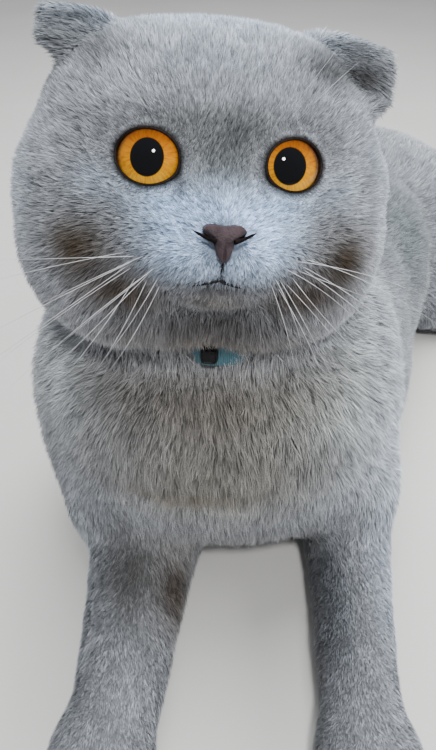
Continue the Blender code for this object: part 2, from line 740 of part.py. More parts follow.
def make_hind_foot(name, side, group):
    """A long hind foot on the floor beside the haunch, toes forward."""
    front = rear_place(side * FOOT_ACROSS, FOOT_AHEAD, 0.0)
    way = Vector((-math.sin(REAR_HEADING), -math.cos(REAR_HEADING), 0))
    middle = front - way * SOLE_BACK + Vector((0, 0, SOLE_HEIGHT))
    sole = ball(name, group, middle, SOLE_HALF, REAR_HEADING, power=2.4, segments=14, rings=8)
    with_toes(
        sole, front, REAR_HEADING, FOOT_TOE_HALF, FOOT_TOE_SPACING, FOOT_TOE_HEIGHT, group
    )
    return sole


def make_tail(group):
    radii = np.linspace(TAIL_ROOT_RADIUS, TAIL_TIP_RADIUS, len(TAIL_ROUTE))
    radii[-1] *= 0.72
    return tapered_tube(
        "tail", group, TAIL_ROUTE, radii, flatten=0.98, sides=TAIL_SIDES, count=TAIL_STEPS
    )


def cut_level(things, cutters):
    """Cut every solid flat at the floor."""
    floor = box("floor_cut", cutters, (-1, -1, -1), (1, 1, 0))
    for thing in things:
        boolean(thing, floor, "DIFFERENCE")
        keep_largest(thing)
    bpy.data.objects.remove(floor, do_unlink=True)


def carve_foreleg(leg, side, model, cutters):
    ahead = box("ahead", cutters, (-1, -1, -1), (1, WRIST_FRONT, 1))
    paw = carve(leg, ahead, f"forepaw_{side}", model, cutters)
    leg.name = f"forearm_{side}"
    return leg, paw


def carve_tail(tail, model, cutters):
    """Three lengths of tail, parted by thin cuts across it."""
    near = box("near", cutters, (0, 0.20, -1), (TAIL_BASE_END, 0.5, 1))
    base = carve(tail, near, "tail_base", model, cutters)
    middle = box("middle", cutters, (0, TAIL_MIDDLE_END, -1), (0.5, 0.5, 1))
    mid = carve(tail, middle, "tail_middle", model, cutters)
    tail.name = "tail_tip"
    return base, mid, tail


def carve_body(body, model, cutters):
    """Part the blended body into neck, upper forelegs, thighs, chest and hindquarters."""
    low = -NECK_BELOW_COLLAR
    above = box("above", cutters, (-0.2, -0.2, low), (0.2, 0.2, 0.1), collar_matrix())
    parts = [carve(body, above, "neck", model, cutters)]
    for name, place in SHOULDER_PLACES.items():
        region = ball("region", cutters, place, SHOULDER_HALF, segments=12, rings=8)
        parts.append(carve(body, region, f"upper_foreleg_{name}", model, cutters))
    for name, side in SIDES.items():
        place = rear_place(side * HAUNCH_PLACE[0], *HAUNCH_PLACE[1:])
        region = ball(
            "region", cutters, place, HAUNCH_HALF, REAR_HEADING, segments=12, rings=8
        )
        parts.append(carve(body, region, f"thigh_{name}", model, cutters))
    waist = Matrix.Translation(WAIST) @ turned(REAR_HEADING * 0.5)
    behind = box("behind", cutters, (-1, 0.0, -1), (1, 1, 1), waist)
    parts.append(carve(body, behind, "hindquarters", model, cutters))
    body.name = "chest"
    parts.append(body)
    return parts


def paint(things, material):
    for thing in things:
        thing.data.materials.clear()
        thing.data.materials.append(material)
        thing.data.shade_smooth()
        thing.data.set_sharp_from_angle(angle=math.radians(50))
        thing.data.name = thing.name


def stand_on_origin(things):
    """Move all so that the middle of the base of their box is the origin."""
    places = np.vstack([vertices_of(thing.data) for thing in things])
    low, high = places.min(axis=0), places.max(axis=0)
    shift = Vector((-(low[0] + high[0]) / 2, -(low[1] + high[1]) / 2, -low[2]))
    for thing in things:
        thing.data.transform(Matrix.Translation(shift))
    print("moved by", [round(value, 5) for value in shift])


def in_head_frame(things):
    turn = head_matrix()
    for thing in things:
        thing.data.transform(turn)


def main():
    clear_scene()
    model = new_collection("scottish_fold_cat")
    cutters = new_collection("cutters")
    eyes = [make_eye(side, f"eye_{name}", model) for name, side in SIDES.items()]
    nose = make_nose(model)
    head = make_head(model)
    nose_pocket = make_nose(cutters, nostril_depth=0.0)
    clear_of(head, [nose_pocket], cutters)
    bpy.data.objects.remove(nose_pocket, do_unlink=True)
    union_all(head, [make_lids(-1, model), make_lids(1, model)])
    clear_of(head, eyes, cutters)
    cut_mouth(head, cutters)
    ears = [make_ear(side, name, model) for name, side in SIDES.items()]
    plain_head = make_head(cutters)
    for ear in ears:
        clear_of(ear, [plain_head], cutters)
    in_head_frame([*eyes, nose, head, plain_head, *ears])

    collar = make_collar(model)
    buckle = make_buckle(model)
    clear_of(collar, [buckle], cutters)

    legs = {name: make_foreleg(name, model) for name in SIDES}
    feet = [make_hind_foot(f"hind_foot_{name}", side, model) for name, side in SIDES.items()]
    tail = make_tail(model)
    body = make_body(model)
    cut_level([*legs.values(), *feet, tail, body], cutters)
    clear_of(head, [collar, buckle], cutters)
    clear_of(body, [plain_head, collar, buckle, *legs.values(), *feet, tail], cutters)
    bpy.data.objects.remove(plain_head, do_unlink=True)
    limbs = [part for name in legs for part in carve_foreleg(legs[name], name, model, cutters)]
    tail_parts = carve_tail(tail, model, cutters)
    trunk = carve_body(body, model, cutters)

    coat = principled("coat", COAT_GREY, 0.9)
    paint([head, *ears, *limbs, *feet, *tail_parts, *trunk], coat)
    paint(eyes, principled("iris", AMBER, 0.15))
    paint([nose], principled("nose_leather", NOSE_LEATHER, 0.55))
    paint([collar], principled("collar_band", TEAL, 0.7))
    paint([buckle], principled("buckle", BLACK, 0.4))
    stand_on_origin(list(model.objects))
    for thing in model.objects:
        print(thing.name, len(thing.data.polygons))


main()
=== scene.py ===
# %% [markdown]
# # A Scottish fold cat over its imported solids
#
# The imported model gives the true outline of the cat, out to the tips of its coat. This
# notebook puts a skin inside that outline and grows a short plush coat on it, then adds
# the eyes, nose, mouth, whiskers and collar, and ends with a floor, lights and a camera.

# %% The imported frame
import math

import bpy
import numpy as np
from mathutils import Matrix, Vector


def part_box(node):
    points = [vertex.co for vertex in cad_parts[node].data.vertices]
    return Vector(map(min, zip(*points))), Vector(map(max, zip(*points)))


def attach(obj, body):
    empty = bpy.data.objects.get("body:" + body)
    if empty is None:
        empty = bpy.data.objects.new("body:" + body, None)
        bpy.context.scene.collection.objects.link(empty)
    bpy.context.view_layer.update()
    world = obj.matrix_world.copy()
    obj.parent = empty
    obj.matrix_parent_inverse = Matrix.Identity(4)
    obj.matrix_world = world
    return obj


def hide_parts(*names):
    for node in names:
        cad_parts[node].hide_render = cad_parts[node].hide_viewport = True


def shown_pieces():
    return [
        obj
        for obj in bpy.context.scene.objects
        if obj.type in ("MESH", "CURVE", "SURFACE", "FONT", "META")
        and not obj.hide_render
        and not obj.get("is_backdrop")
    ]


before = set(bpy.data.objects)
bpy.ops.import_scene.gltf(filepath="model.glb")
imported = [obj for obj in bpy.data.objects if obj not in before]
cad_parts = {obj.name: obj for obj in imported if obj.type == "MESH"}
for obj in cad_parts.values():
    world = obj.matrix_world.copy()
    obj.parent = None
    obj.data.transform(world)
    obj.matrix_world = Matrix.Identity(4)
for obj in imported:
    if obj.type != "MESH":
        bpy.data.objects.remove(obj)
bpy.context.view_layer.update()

SEED = 11
print("nodes:", len(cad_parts))

# %% [markdown]
# Every piece is worked out with numpy and handed to Blender as whole arrays. A few helpers
# do that: they make a mesh from places and faces of three or four corners, and join the
# rows of a grid of places into a surface. Loops over vertices would take minutes.

# %% Meshes from arrays
def put_faces(mesh, corners, counts):
    """Hand the faces to a mesh: all corners in one run, and how many each face takes."""
    starts = np.concatenate([[0], np.cumsum(counts)[:-1]]).astype(np.int32)
    mesh.loops.add(len(corners))
    mesh.polygons.add(len(counts))
    mesh.loops.foreach_set("vertex_index", corners.astype(np.int32))
    mesh.polygons.foreach_set("loop_start", starts)


def linked(name, data):
    """An object made of some data, linked to the scene."""
    thing = bpy.data.objects.new(name, data)
    bpy.context.scene.collection.objects.link(thing)
    return thing


def mesh_piece(name, places, corners, counts, checked=True):
    """A smooth-shaded object from places (n, 3), face corners and corner counts."""
    mesh = bpy.data.meshes.new(name)
    mesh.vertices.add(len(places))
    mesh.vertices.foreach_set("co", np.asarray(places, np.float32).ravel())
    put_faces(mesh, np.asarray(corners), np.asarray(counts))
    mesh.update(calc_edges=True)
    if checked:
        mesh.validate()
    mesh.shade_smooth()
    return linked(name, mesh)


def quad_piece(name, places, quads):
    """A smooth-shaded object whose faces all have four corners."""
    return mesh_piece(name, places, quads.ravel(), np.full(len(quads), 4))


def grid_faces(rows, columns, round_columns=True, round_rows=False):
    """Corner numbers of the quads of a grid of places, closed along either way or not."""
    across = columns if round_columns else columns - 1
    along = rows if round_rows else rows - 1
    i, j = np.meshgrid(np.arange(along), np.arange(across), indexing="ij")
    i2, j2 = (i + 1) % rows, (j + 1) % columns
    quads = [i * columns + j, i * columns + j2, i2 * columns + j2, i2 * columns + j]
    return np.stack(quads, axis=-1).reshape(-1, 4)


# %% [markdown]
# A tube that is left open shows its inside. Each tube here ends in a fan of triangles round
# a middle point. The same places, quads and fans serve the head, which is wrapped later.

# %% Closed tubes
def capped_rings(grid):
    """Places, quads and end fans of rings (rows, sides, 3), closed by a point at each end."""
    rows, sides, _ = grid.shape
    ends = np.array([grid[0].mean(axis=0), grid[-1].mean(axis=0)])
    k = np.arange(sides)
    after, base, tip = (k + 1) % sides, (rows - 1) * sides, rows * sides
    first = np.column_stack([after, k, np.full(sides, tip)])
    last = np.column_stack([base + k, base + after, np.full(sides, tip + 1)])
    places = np.vstack([grid.reshape(-1, 3), ends])
    return places, grid_faces(rows, sides), np.vstack([first, last])


def closed_tube(name, grid):
    """A grid of rings as a tube, with a fan from a middle point at each end."""
    places, quads, fans = capped_rings(grid)
    corners = np.concatenate([quads.ravel(), fans.ravel()])
    counts = np.concatenate([np.full(len(quads), 4), np.full(len(fans), 3)])
    return mesh_piece(name, places, corners, counts)


def full_turn(steps):
    """Angles evenly round a full turn."""
    return np.linspace(0, 2 * math.pi, steps, endpoint=False)


def unit(rows):
    """Each row scaled to length one."""
    return rows / np.maximum(np.linalg.norm(rows, axis=-1, keepdims=True), 1e-12)


# %% [markdown]
# Some steps read a mesh back, find which way its surface faces, or smooth it. Blender can
# do the last two itself, but arrays allow a share of smoothing for each point.

# %% Arrays from meshes
def read_rows(items, key, width, kind=float):
    """One property of all items of a mesh, as rows of a width."""
    values = np.empty(len(items) * width, kind)
    items.foreach_get(key, values)
    return values.reshape(-1, width)


def read_mesh(mesh):
    """A mesh's points, triangles and edges as arrays."""
    mesh.calc_loop_triangles()
    return (read_rows(mesh.vertices, "co", 3),
            read_rows(mesh.loop_triangles, "vertices", 3, np.int64),
            read_rows(mesh.edges, "vertices", 2, np.int64))


def point_normals(places, triangles):
    """Normals at the points: the sum of the area vectors of the triangles round each."""
    a, b, c = (places[triangles[:, k]] for k in range(3))
    flat = np.cross(b - a, c - a)
    total = np.zeros_like(places)
    for k in range(3):
        for axis in range(3):
            total[:, axis] += np.bincount(triangles[:, k], flat[:, axis], len(places))
    return unit(total)


def relax(places, edges, share, times):
    """Move each point a share of the way to the mean of its neighbours, again and again."""
    ends = np.concatenate([edges[:, 0], edges[:, 1]])
    others = np.concatenate([edges[:, 1], edges[:, 0]])
    count = np.maximum(np.bincount(ends, minlength=len(places)), 1)[:, None]
    for _ in range(times):
        mean = np.column_stack(
            [np.bincount(ends, places[others, axis], len(places)) for axis in range(3)]
        )
        places = places + (mean / count - places) * share
    return places


# %% [markdown]
# The head of the real cat is turned, raised and a little tilted. Features of the face are
# easier to place in the head's own upright frame, where x runs across, -y is forward and z
# is up. The same turn is used as in the solids, so that both agree. The body's places are
# given from a point on the floor below the head, which the collar's node fixes.

# %% Frames of the body and head
def turn_about(axis, degrees):
    """The 3 by 3 matrix that turns a column of coordinates about one axis."""
    c, s = math.cos(math.radians(degrees)), math.sin(math.radians(degrees))
    rows = {"x": ((1, 0, 0), (0, c, -s), (0, s, c)), "y": ((c, 0, s), (0, 1, 0), (-s, 0, c))}
    rows["z"] = ((c, -s, 0), (s, c, 0), (0, 0, 1))
    return np.array(rows[axis])


collar_low, collar_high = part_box("collar")
COLLAR_Y = 0.0070
BELOW_HEAD = np.array(
    [(collar_low.x + collar_high.x) / 2, (collar_low.y + collar_high.y) / 2 - COLLAR_Y, 0.0]
)
HEAD_TURN = turn_about("z", 7.1) @ turn_about("x", -20) @ turn_about("y", 6.0)
HEAD_MIDDLE = np.array([-0.0050, 0.0, 0.180]) + BELOW_HEAD


def to_head(places):
    """Row-frame places in the head's frame."""
    return (places - HEAD_MIDDLE) @ HEAD_TURN


def from_head(places):
    """Places in the head's frame back in the row frame."""
    return np.asarray(places) @ HEAD_TURN.T + HEAD_MIDDLE


print("below the head:", BELOW_HEAD.round(4))

# %% [markdown]
# The face is a plain rounded form with hills and hollows laid over it: muzzle, whisker
# pads, chin, bridge, brows and cheeks. Each hill is a bell curve. The same sum shapes the
# solid head, so the skin made from it fits the solid one at any fineness.

# %% The form of the head
HALF_WIDTH, FRONT, BACK = 0.0600, 0.056, 0.060
CROWN, JAW, LOWERED = 0.0615, 0.0530, -0.010
CROWN_POWER, JAW_POWER = 2.7, 2.8
CHEEK_SWELL, CHEEK_HEIGHT, CHEEK_ABOVE, CHEEK_BELOW = 0.095, -0.012, 0.027, 0.044
FACE_HILLS = {
    "muzzle": (0.0075, (0, -0.0175), (0.0220, 0.0135)),
    "whisker_pads": (0.0030, (0.0098, -0.0185), (0.0075, 0.0062)),
    "chin": (0.0040, (0, -0.0305), (0.0105, 0.0050)),
    "bridge": (0.0026, (0, -0.0030), (0.0065, 0.0090)),
    "brows": (0.0016, (0.0190, 0.0210), (0.0130, 0.0060)),
    "cheeks": (0.0035, (0.0420, -0.0220), (0.0180, 0.0180)),
    "eye_hollows": (-0.0040, (0.0203, 0.0080), (0.0120, 0.0105)),
    "stop": (-0.0012, (0, 0.0110), (0.0080, 0.0090)),
    "under_chin": (-0.0030, (0, -0.0385), (0.0200, 0.0030)),
    "throat_ruff": (0.0022, (0, -0.0470), (0.0340, 0.0070)),
    "below_ruff": (-0.0060, (0, -0.0600), (0.0300, 0.0090)),
}


def hump(value, middle, spread):
    """exp of minus the squared distance from the middle, in units of the spread."""
    return np.exp(-(((value - middle) / spread) ** 2))


def bell(x, z, place, spread):
    """exp of minus the squared distance from place, each way in units of its spread."""
    return np.exp(-(((x - place[0]) / spread[0]) ** 2) - ((z - place[1]) / spread[1]) ** 2)


def face_relief(x, z):
    """How far the hills push the face forward at x and z, with a twin for each off the middle."""
    relief = np.zeros(np.broadcast(x, z).shape)
    for height, (across, up), spread in FACE_HILLS.values():
        relief += height * bell(x, z, (across, up), spread)
        if across:
            relief += height * bell(x, z, (-across, up), spread)
    return relief


def swell(z):
    """The share of the cheeks' spread at a height above the head's lowered middle."""
    height = z + LOWERED - CHEEK_HEIGHT
    reach = np.where(height > 0, CHEEK_ABOVE, CHEEK_BELOW)
    return np.exp(-((height / reach) ** 4))


def outline_share(x, z):
    """The squared distance towards the outline seen from the front: 1 on the outline."""
    tall = np.where(z > 0, CROWN, JAW)
    power = np.where(z > 0, CROWN_POWER, JAW_POWER)
    return ((np.abs(x) / HALF_WIDTH) ** power + (np.abs(z) / tall) ** power) ** (2 / power)


def face_y(x, z):
    """The y of the coat's front at x and z, in the head's frame."""
    x, z = np.asarray(x, float), np.asarray(z, float)
    height = z - LOWERED
    share = outline_share(x / (1 + CHEEK_SWELL * swell(height)), height)
    return -FRONT * np.sqrt(np.maximum(1 - share, 0)) - face_relief(x, z)


def head_places(ways):
    """Points of the head for unit directions from its middle."""
    x, y, z = ways.T
    size = 1 / np.sqrt(outline_share(x, z) + (y / np.where(y < 0, FRONT, BACK)) ** 2)
    places = ways * size[:, None]
    places[:, 0] *= 1 + CHEEK_SWELL * swell(places[:, 2])
    places[:, 2] += LOWERED
    facing = np.clip(-y * 2.2, 0, 1)
    places[:, 1] -= face_relief(places[:, 0], places[:, 2]) * facing * facing * (3 - 2 * facing)
    return places


def fine_head(rings=110, sides=150):
    """The head's grid of points round the axis that runs from the back to the nose."""
    down, around = np.meshgrid(
        np.linspace(0.004, math.pi - 0.004, rings),
        full_turn(sides),
        indexing="ij",
    )
    ways = np.stack(
        [np.sin(down) * np.cos(around), -np.cos(down), np.sin(down) * np.sin(around)], axis=-1
    )
    return from_head(head_places(ways.reshape(-1, 3))).reshape(rings, sides, 3)


# %% [markdown]
# Each eye looks out through a rounded opening with a short point at its inner corner. How
# far a place lies from the middle of the opening, in units of the opening's own size, sets
# the skin, the shortness of the coat and the way it lies around the eye.

# %% The openings of the eyes
EYE_SPACING, EYE_HEIGHT, EYE_DEPTH, BALL_RADIUS = 0.0374, 0.0061, -0.0400, 0.0122
SIDES = {"right": -1, "left": 1}
OPEN_MIDDLE = (0.0207, 0.0080)
OPEN_HALF = {-1: (0.0087, 0.0073), 1: (0.0082, 0.0070)}
CORNER_TURN, CORNER_WIDTH, CORNER_REACH = math.radians(214), 0.36, 0.11
FACE_FRONT = -0.020
NEAR_EYE = 2.2


def rim_share(turn):
    """The rim's reach at an angle: 1, and a bell of 0.11 more at the inner corner."""
    away = np.angle(np.exp(1j * (turn - CORNER_TURN)))
    return 1 + CORNER_REACH * hump(away, 0, CORNER_WIDTH)


def open_radius(x, z, side):
    """How far x and z lie from the middle of an eye's opening: 1 at its rim."""
    across = (x * side - OPEN_MIDDLE[0]) / OPEN_HALF[side][0]
    up = (z - OPEN_MIDDLE[1]) / OPEN_HALF[side][1]
    return np.hypot(across, up) / rim_share(np.arctan2(up, across))


def ball_y(x, z, side):
    """The y of the front of the eyeball at x and z, or of its level middle beyond it."""
    square = (x * side - EYE_SPACING / 2) ** 2 + (z - EYE_HEIGHT) ** 2
    return EYE_DEPTH - np.sqrt(np.maximum(BALL_RADIUS**2 - square, 0.0))


def smooth_step(value, start, end):
    """0 before start, 1 after end, and smooth between."""
    t = np.clip((value - start) / (end - start), 0, 1)
    return t * t * (3 - 2 * t)


def eye_rings(q):
    """For each eye: its side, how far places q lie from its middle, and which lie in front."""
    for side in SIDES.values():
        yield side, open_radius(q[:, 0], q[:, 2], side), q[:, 1] < FACE_FRONT


def eye_nearness(q):
    """1 at the rim of an eye and inside it, falling to 0 at 2.2 times its size."""
    near = np.zeros(len(q))
    for _, radius, front in eye_rings(q):
        near = np.maximum(near, (1 - smooth_step(radius, 1.0, NEAR_EYE)) * front)
    return near


for name, side in SIDES.items():
    print("eye opening in mm:", name, [round(2000 * half, 1) for half in OPEN_HALF[side]])

# %% [markdown]
# The coat differs from place to place: very short on the muzzle and paws, plush on the
# cheeks and chest, longest on the ruff below the jaw. A table of named spots gives, for
# each, how deep the coat is, how long its tufts are and which way they lie. Between the
# spots the values are blended, so that no border shows. Body spots are measured from the
# point on the floor below the head, and head spots in the head's frame, in millimetres.

# %% Named spots of the coat
REAR = math.radians(30)
TAIL_ROUTE = ((128, 290, 42), (146, 318, 26), (180, 334, 19), (222, 316, 18), (246, 272, 18),
              (248, 224, 17.5), (232, 186, 17))


def rear(lateral, forward, height):
    """A place by the pelvis in mm: out to the left, forward along the rear's heading, up."""
    x = 100 + math.cos(REAR) * lateral - math.sin(REAR) * forward
    y = 230 - math.sin(REAR) * lateral - math.cos(REAR) * forward
    return (x, y, height)


# name: (place, reach, depth of coat, tuft length, way the tufts lie)
BODY_SPOTS = {
    "throat": ((0, -48, 125), 26, 5.6, 8.0, (0, -0.3, -1)),
    "breast": ((0, -72, 92), 30, 6.4, 9.2, (0, -0.3, -1)),
    "breast_low": ((0, -62, 48), 26, 5.6, 8.8, (0, -0.25, -1)),
    "breast_right": ((-74, -15, 92), 28, 6.0, 8.0, (-0.15, 0.2, -1)),
    "breast_left": ((76, -15, 92), 28, 6.0, 8.0, (0.15, 0.2, -1)),
    "shoulder_right": ((-84, 25, 70), 28, 5.2, 7.2, (-0.1, 0.5, -1)),
    "shoulder_left": ((86, 25, 70), 28, 5.2, 7.2, (0.1, 0.5, -1)),
    "elbow_right": ((-66, -22, 28), 22, 3.6, 5.6, (0, -0.7, -0.8)),
    "elbow_left": ((78, -22, 28), 22, 3.6, 5.6, (0, -0.7, -0.8)),
    "forearm_right": ((-36, -66, 34), 22, 2.8, 4.4, (0, -1, -0.2)),
    "forearm_left": ((58, -66, 30), 22, 2.8, 4.4, (0, -1, -0.2)),
    "wrist_right": ((-42, -108, 24), 14, 2.3, 3.6, (0, -1, -0.15)),
    "wrist_left": ((56, -108, 24), 14, 2.3, 3.6, (0, -1, -0.15)),
    "paw_right": ((-43, -142, 18), 14, 1.4, 2.7, (0, -1, -0.2)),
    "paw_left": ((55, -142, 18), 14, 1.4, 2.7, (0, -1, -0.2)),
    "nape": ((4, 60, 152), 26, 5.6, 7.2, (0, 1, -0.1)),
    "neck_right": ((-52, 45, 130), 24, 5.6, 7.2, (-0.3, 0.8, -0.7)),
    "neck_left": ((60, 45, 130), 24, 5.6, 7.2, (0.3, 0.8, -0.7)),
    "withers": ((24, 105, 140), 32, 5.2, 7.2, (0.2, 1, 0)),
    "ribs_right": ((-58, 105, 75), 34, 5.2, 7.2, (0.05, 1, -0.6)),
    "ribs_left": ((108, 92, 75), 34, 5.2, 7.2, (0.3, 0.9, -0.6)),
    "back": ((62, 165, 128), 34, 5.2, 7.2, (0.45, 0.88, 0)),
    "flank_right": ((-12, 195, 75), 34, 5.2, 7.2, (0.45, 0.85, -0.5)),
    "flank_left": ((132, 135, 70), 34, 5.2, 7.2, (0.45, 0.85, -0.5)),
    "rump": ((108, 240, 116), 34, 5.2, 7.2, (0.5, 0.87, -0.15)),
    "rump_back": ((136, 296, 70), 26, 5.2, 7.2, (0.5, 0.87, -0.7)),
    "thigh_right": (rear(-98, 0, 60), 34, 4.8, 6.4, (0.3, 0.5, -1)),
    "thigh_left": (rear(98, 0, 60), 34, 4.8, 6.4, (0.3, 0.5, -1)),
    "foot_right": (rear(-90, 20, 10), 20, 2.0, 3.1, (-0.5, -0.87, -0.1)),
    "foot_left": (rear(90, 20, 10), 20, 2.0, 3.1, (-0.5, -0.87, -0.1)),
    "belly": ((40, 110, 0), 40, 4.0, 6.0, (0.3, 1, 0)),
    "brisket": ((0, -10, 5), 30, 4.0, 6.0, (0, -1, 0)),
}
# name: (place, reach, depth of coat, tuft length)
HEAD_SPOTS = {
    "nose": ((0, -66, -14), 8, 0.9, 1.5),
    "muzzle": ((0, -63, -20), 9, 1.3, 2.3),
    "pads": ((13, -60, -20), 8, 1.5, 2.7),
    "chin": ((0, -60, -31), 7, 1.6, 3.0),
    "bridge": ((0, -59, -1), 9, 1.2, 2.0),
    "inner_eye": ((11, -53, 4), 6, 1.1, 1.8),
    "brow": ((19, -50, 22), 9, 1.6, 2.7),
    "outer_eye": ((33, -44, 8), 8, 1.6, 2.7),
    "below_eye": ((22, -52, -9), 9, 1.5, 2.6),
    "forehead": ((0, -48, 28), 16, 2.0, 3.0),
    "crown": ((0, -15, 50), 24, 3.1, 4.6),
    "temple": ((44, -25, 22), 16, 2.7, 4.2),
    "cheek": ((50, -28, -12), 18, 3.4, 5.2),
    "jowl": ((38, -38, -40), 14, 4.4, 7.5),
    "ruff": ((0, -44, -50), 12, 4.8, 8.6),
    "ruff_side": ((24, -40, -52), 10, 5.0, 13.0),
    "ruff_far": ((38, -33, -50), 10, 5.0, 12.5),
    "side": ((60, 0, -10), 22, 4.2, 6.5),
    "poll": ((0, 45, 20), 34, 4.6, 7.2),
    "nape_side": ((42, 30, -20), 26, 5.0, 7.6),
    "ear_right": ((-47, -6, 44), 10, 1.0, 3.2),
    "ear_left": ((51, -7, 42), 11, 1.0, 3.2),
    "tip_right": ((-54, -16, 36), 6, 1.0, 7.5),
    "tip_left": ((57, -8, 33), 7, 1.0, 7.0),
}
TAIL_REACH, TAIL_DEPTH, TAIL_LENGTH = 14, 3.8, 6.2
print("rows of spots:", len(BODY_SPOTS) + len(TAIL_ROUTE) + len(HEAD_SPOTS))

# %% [markdown]
# The face is nearly the same on both sides, so most rows of the head's table stand for two
# spots. At any place the spots are weighed by how near they are, which costs one large
# table of distances; it is worked out in runs, to spare the memory.

# %% How the spots blend
def twins(name, place):
    """The places that a row of the head stands for: one that is named for a side or lies on
    the middle stands for itself, and any other also for its twin across the middle."""
    x, y, z = place
    alone = x == 0 or name.endswith(("_right", "_left"))
    return [(x, y, z)] if alone else [(x, y, z), (-x, y, z)]


def gather_spots():
    """All spots as arrays in metres: place, reach, depth, length, lie, and 1 for the head's."""
    rows = []
    for place, reach, depth, length, lie in BODY_SPOTS.values():
        rows.append((np.array(place) * 1e-3 + BELOW_HEAD, reach, depth, length, lie, 0.0))
    tail = np.array(TAIL_ROUTE)
    for place, along in zip(tail, np.gradient(tail, axis=0)):
        spot = place * 1e-3 + BELOW_HEAD
        rows.append((spot, TAIL_REACH, TAIL_DEPTH, TAIL_LENGTH, along, 0.0))
    for name, (place, reach, depth, length) in HEAD_SPOTS.items():
        for twin in twins(name, place):
            spot = from_head(np.array(twin) * 1e-3)
            rows.append((spot, reach, depth, length, (0, 0, 0), 1.0))
    place, reach, depth, length, lie, head = (np.array(column, float) for column in zip(*rows))
    return place, reach * 1e-3, depth * 1e-3, length * 1e-3, unit(lie) * (1 - head)[:, None], head


SPOTS = gather_spots()
PLACES_AT_ONCE = 50000
THINNER_BY_EYE, SHORTER_BY_EYE = 0.66, 0.58


def coat_at(places):
    """Depth, length, body lie and share of the head at each place.

    The weight of a spot is exp(-(distance / reach)^2), and the weights at a place are
    scaled to a sum of one. Towards the rim of an eye the coat grows thin and short.
    """
    place, reach, depth, length, lie, head = SPOTS
    many = len(places)
    results = [np.empty(many), np.empty(many), np.empty((many, 3)), np.empty(many)]
    for start in range(0, many, PLACES_AT_ONCE):
        part = slice(start, start + PLACES_AT_ONCE)
        away = ((places[part, None, :] - place[None]) ** 2).sum(axis=2) / reach**2
        weight = np.exp(-(away - away.min(axis=1, keepdims=True)))
        weight /= weight.sum(axis=1, keepdims=True)
        for result, value in zip(results, (depth, length, lie, head)):
            result[part] = weight @ value
    near = eye_nearness(to_head(places))
    results[0] *= 1 - THINNER_BY_EYE * near
    results[1] *= 1 - SHORTER_BY_EYE * near
    return results


print("spots of the coat:", len(SPOTS[0]))

# %% [markdown]
# The skin of a cat has no seams, while the solids are parted by thin gaps. So copies of all
# the solids of flesh are swollen by half a gap, poured together with the fine head, and
# wrapped in one new surface by a voxel remesh. The collar goes in too, because the neck
# runs on under it. The wrap is then smoothed, most on the body and least on the toes, and
# drawn inwards by the depth of the coat, so that the tips of the tufts reach the outline.

# %% One wrap round all the flesh
FLESH = [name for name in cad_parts
         if name not in ("eye_left", "eye_right", "nose", "collar", "collar_buckle")]
WRAP_VOXEL = 0.00175
HALF_GAP = 0.0005
SAME_PLACE = 2e-6


def node_arrays(name):
    """A node's points and triangles, with points at one place merged."""
    places, triangles, _ = read_mesh(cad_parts[name].data)
    keys = np.round(places / SAME_PLACE).astype(np.int64)
    _, first, back = np.unique(keys, axis=0, return_index=True, return_inverse=True)
    merged = back.ravel()[triangles]
    a, b, c = merged.T
    return places[first], merged[(a != b) & (b != c) & (a != c)]


def wrap_flesh():
    """The fine head and the swollen solids, remeshed into one surface."""
    places, quads, fans = capped_rings(fine_head())
    all_places = [places]
    all_triangles = [np.vstack([quads[:, [0, 1, 2]], quads[:, [0, 2, 3]], fans])]
    count = len(places)
    for name in [*FLESH, "collar"]:
        if name == "head":
            continue
        places, triangles = node_arrays(name)
        all_places.append(places + point_normals(places, triangles) * HALF_GAP)
        all_triangles.append(triangles + count)
        count += len(places)
    triangles = np.vstack(all_triangles)
    counts = np.full(len(triangles), 3)
    body = mesh_piece("flesh", np.vstack(all_places), triangles.ravel(), counts)
    wrap = body.modifiers.new("wrap", "REMESH")
    wrap.mode, wrap.voxel_size = "VOXEL", WRAP_VOXEL
    graph = bpy.context.evaluated_depsgraph_get()
    mesh = bpy.data.meshes.new_from_object(body.evaluated_get(graph))
    bpy.data.objects.remove(body, do_unlink=True)
    return mesh


flesh = wrap_flesh()
skin_places, skin_triangles, skin_edges = read_mesh(flesh)
print("wrap:", len(skin_places), "points,", len(skin_triangles), "triangles")

# %% [markdown]
# The head comes from its own fine grid and needs almost no smoothing, so its share is small.
# The depths are smoothed with the directions, so that the skin gets no folds of its own.

# %% Smooth the wrap and draw it in by the depth of the coat
BODY_ROUNDS, ALL_ROUNDS, DEPTH_ROUNDS = 44, 2, 8
HEAD_KEPT = 0.92

depth, length, lie, head_share = coat_at(skin_places)
plain = np.clip((depth - 0.0012) / 0.0030, 0.06, 1.0) * (1 - HEAD_KEPT * head_share)
skin_places = relax(skin_places, skin_edges, 0.5 * plain[:, None], BODY_ROUNDS)
skin_places = relax(skin_places, skin_edges, 0.4, ALL_ROUNDS)
normals = point_normals(skin_places, skin_triangles)
drawn = relax(normals * depth[:, None], skin_edges, 0.5, DEPTH_ROUNDS)
skin_places = skin_places - drawn
print("coat depth in mm:", (depth.min() * 1000).round(2), "to", (depth.max() * 1000).round(2))

# %% [markdown]
# Round each eye the skin has to meet the eyeball. Inside the opening it is pushed back
# behind the ball, at the rim it lies on the ball, and from there it rises smoothly to the
# brow, the bridge and the cheek. The nose leather and the lips lie on the skin in the same
# way. All of this is done in the head's frame, as a change of depth over x and z.

# %% Set the skin round the eyes
RIM_SNAP, RIM_LIFT, BEHIND, BEFORE_BALL = 0.17, 0.0005, 0.0030, 1.5
LOWEST_SKIN = 0.0004


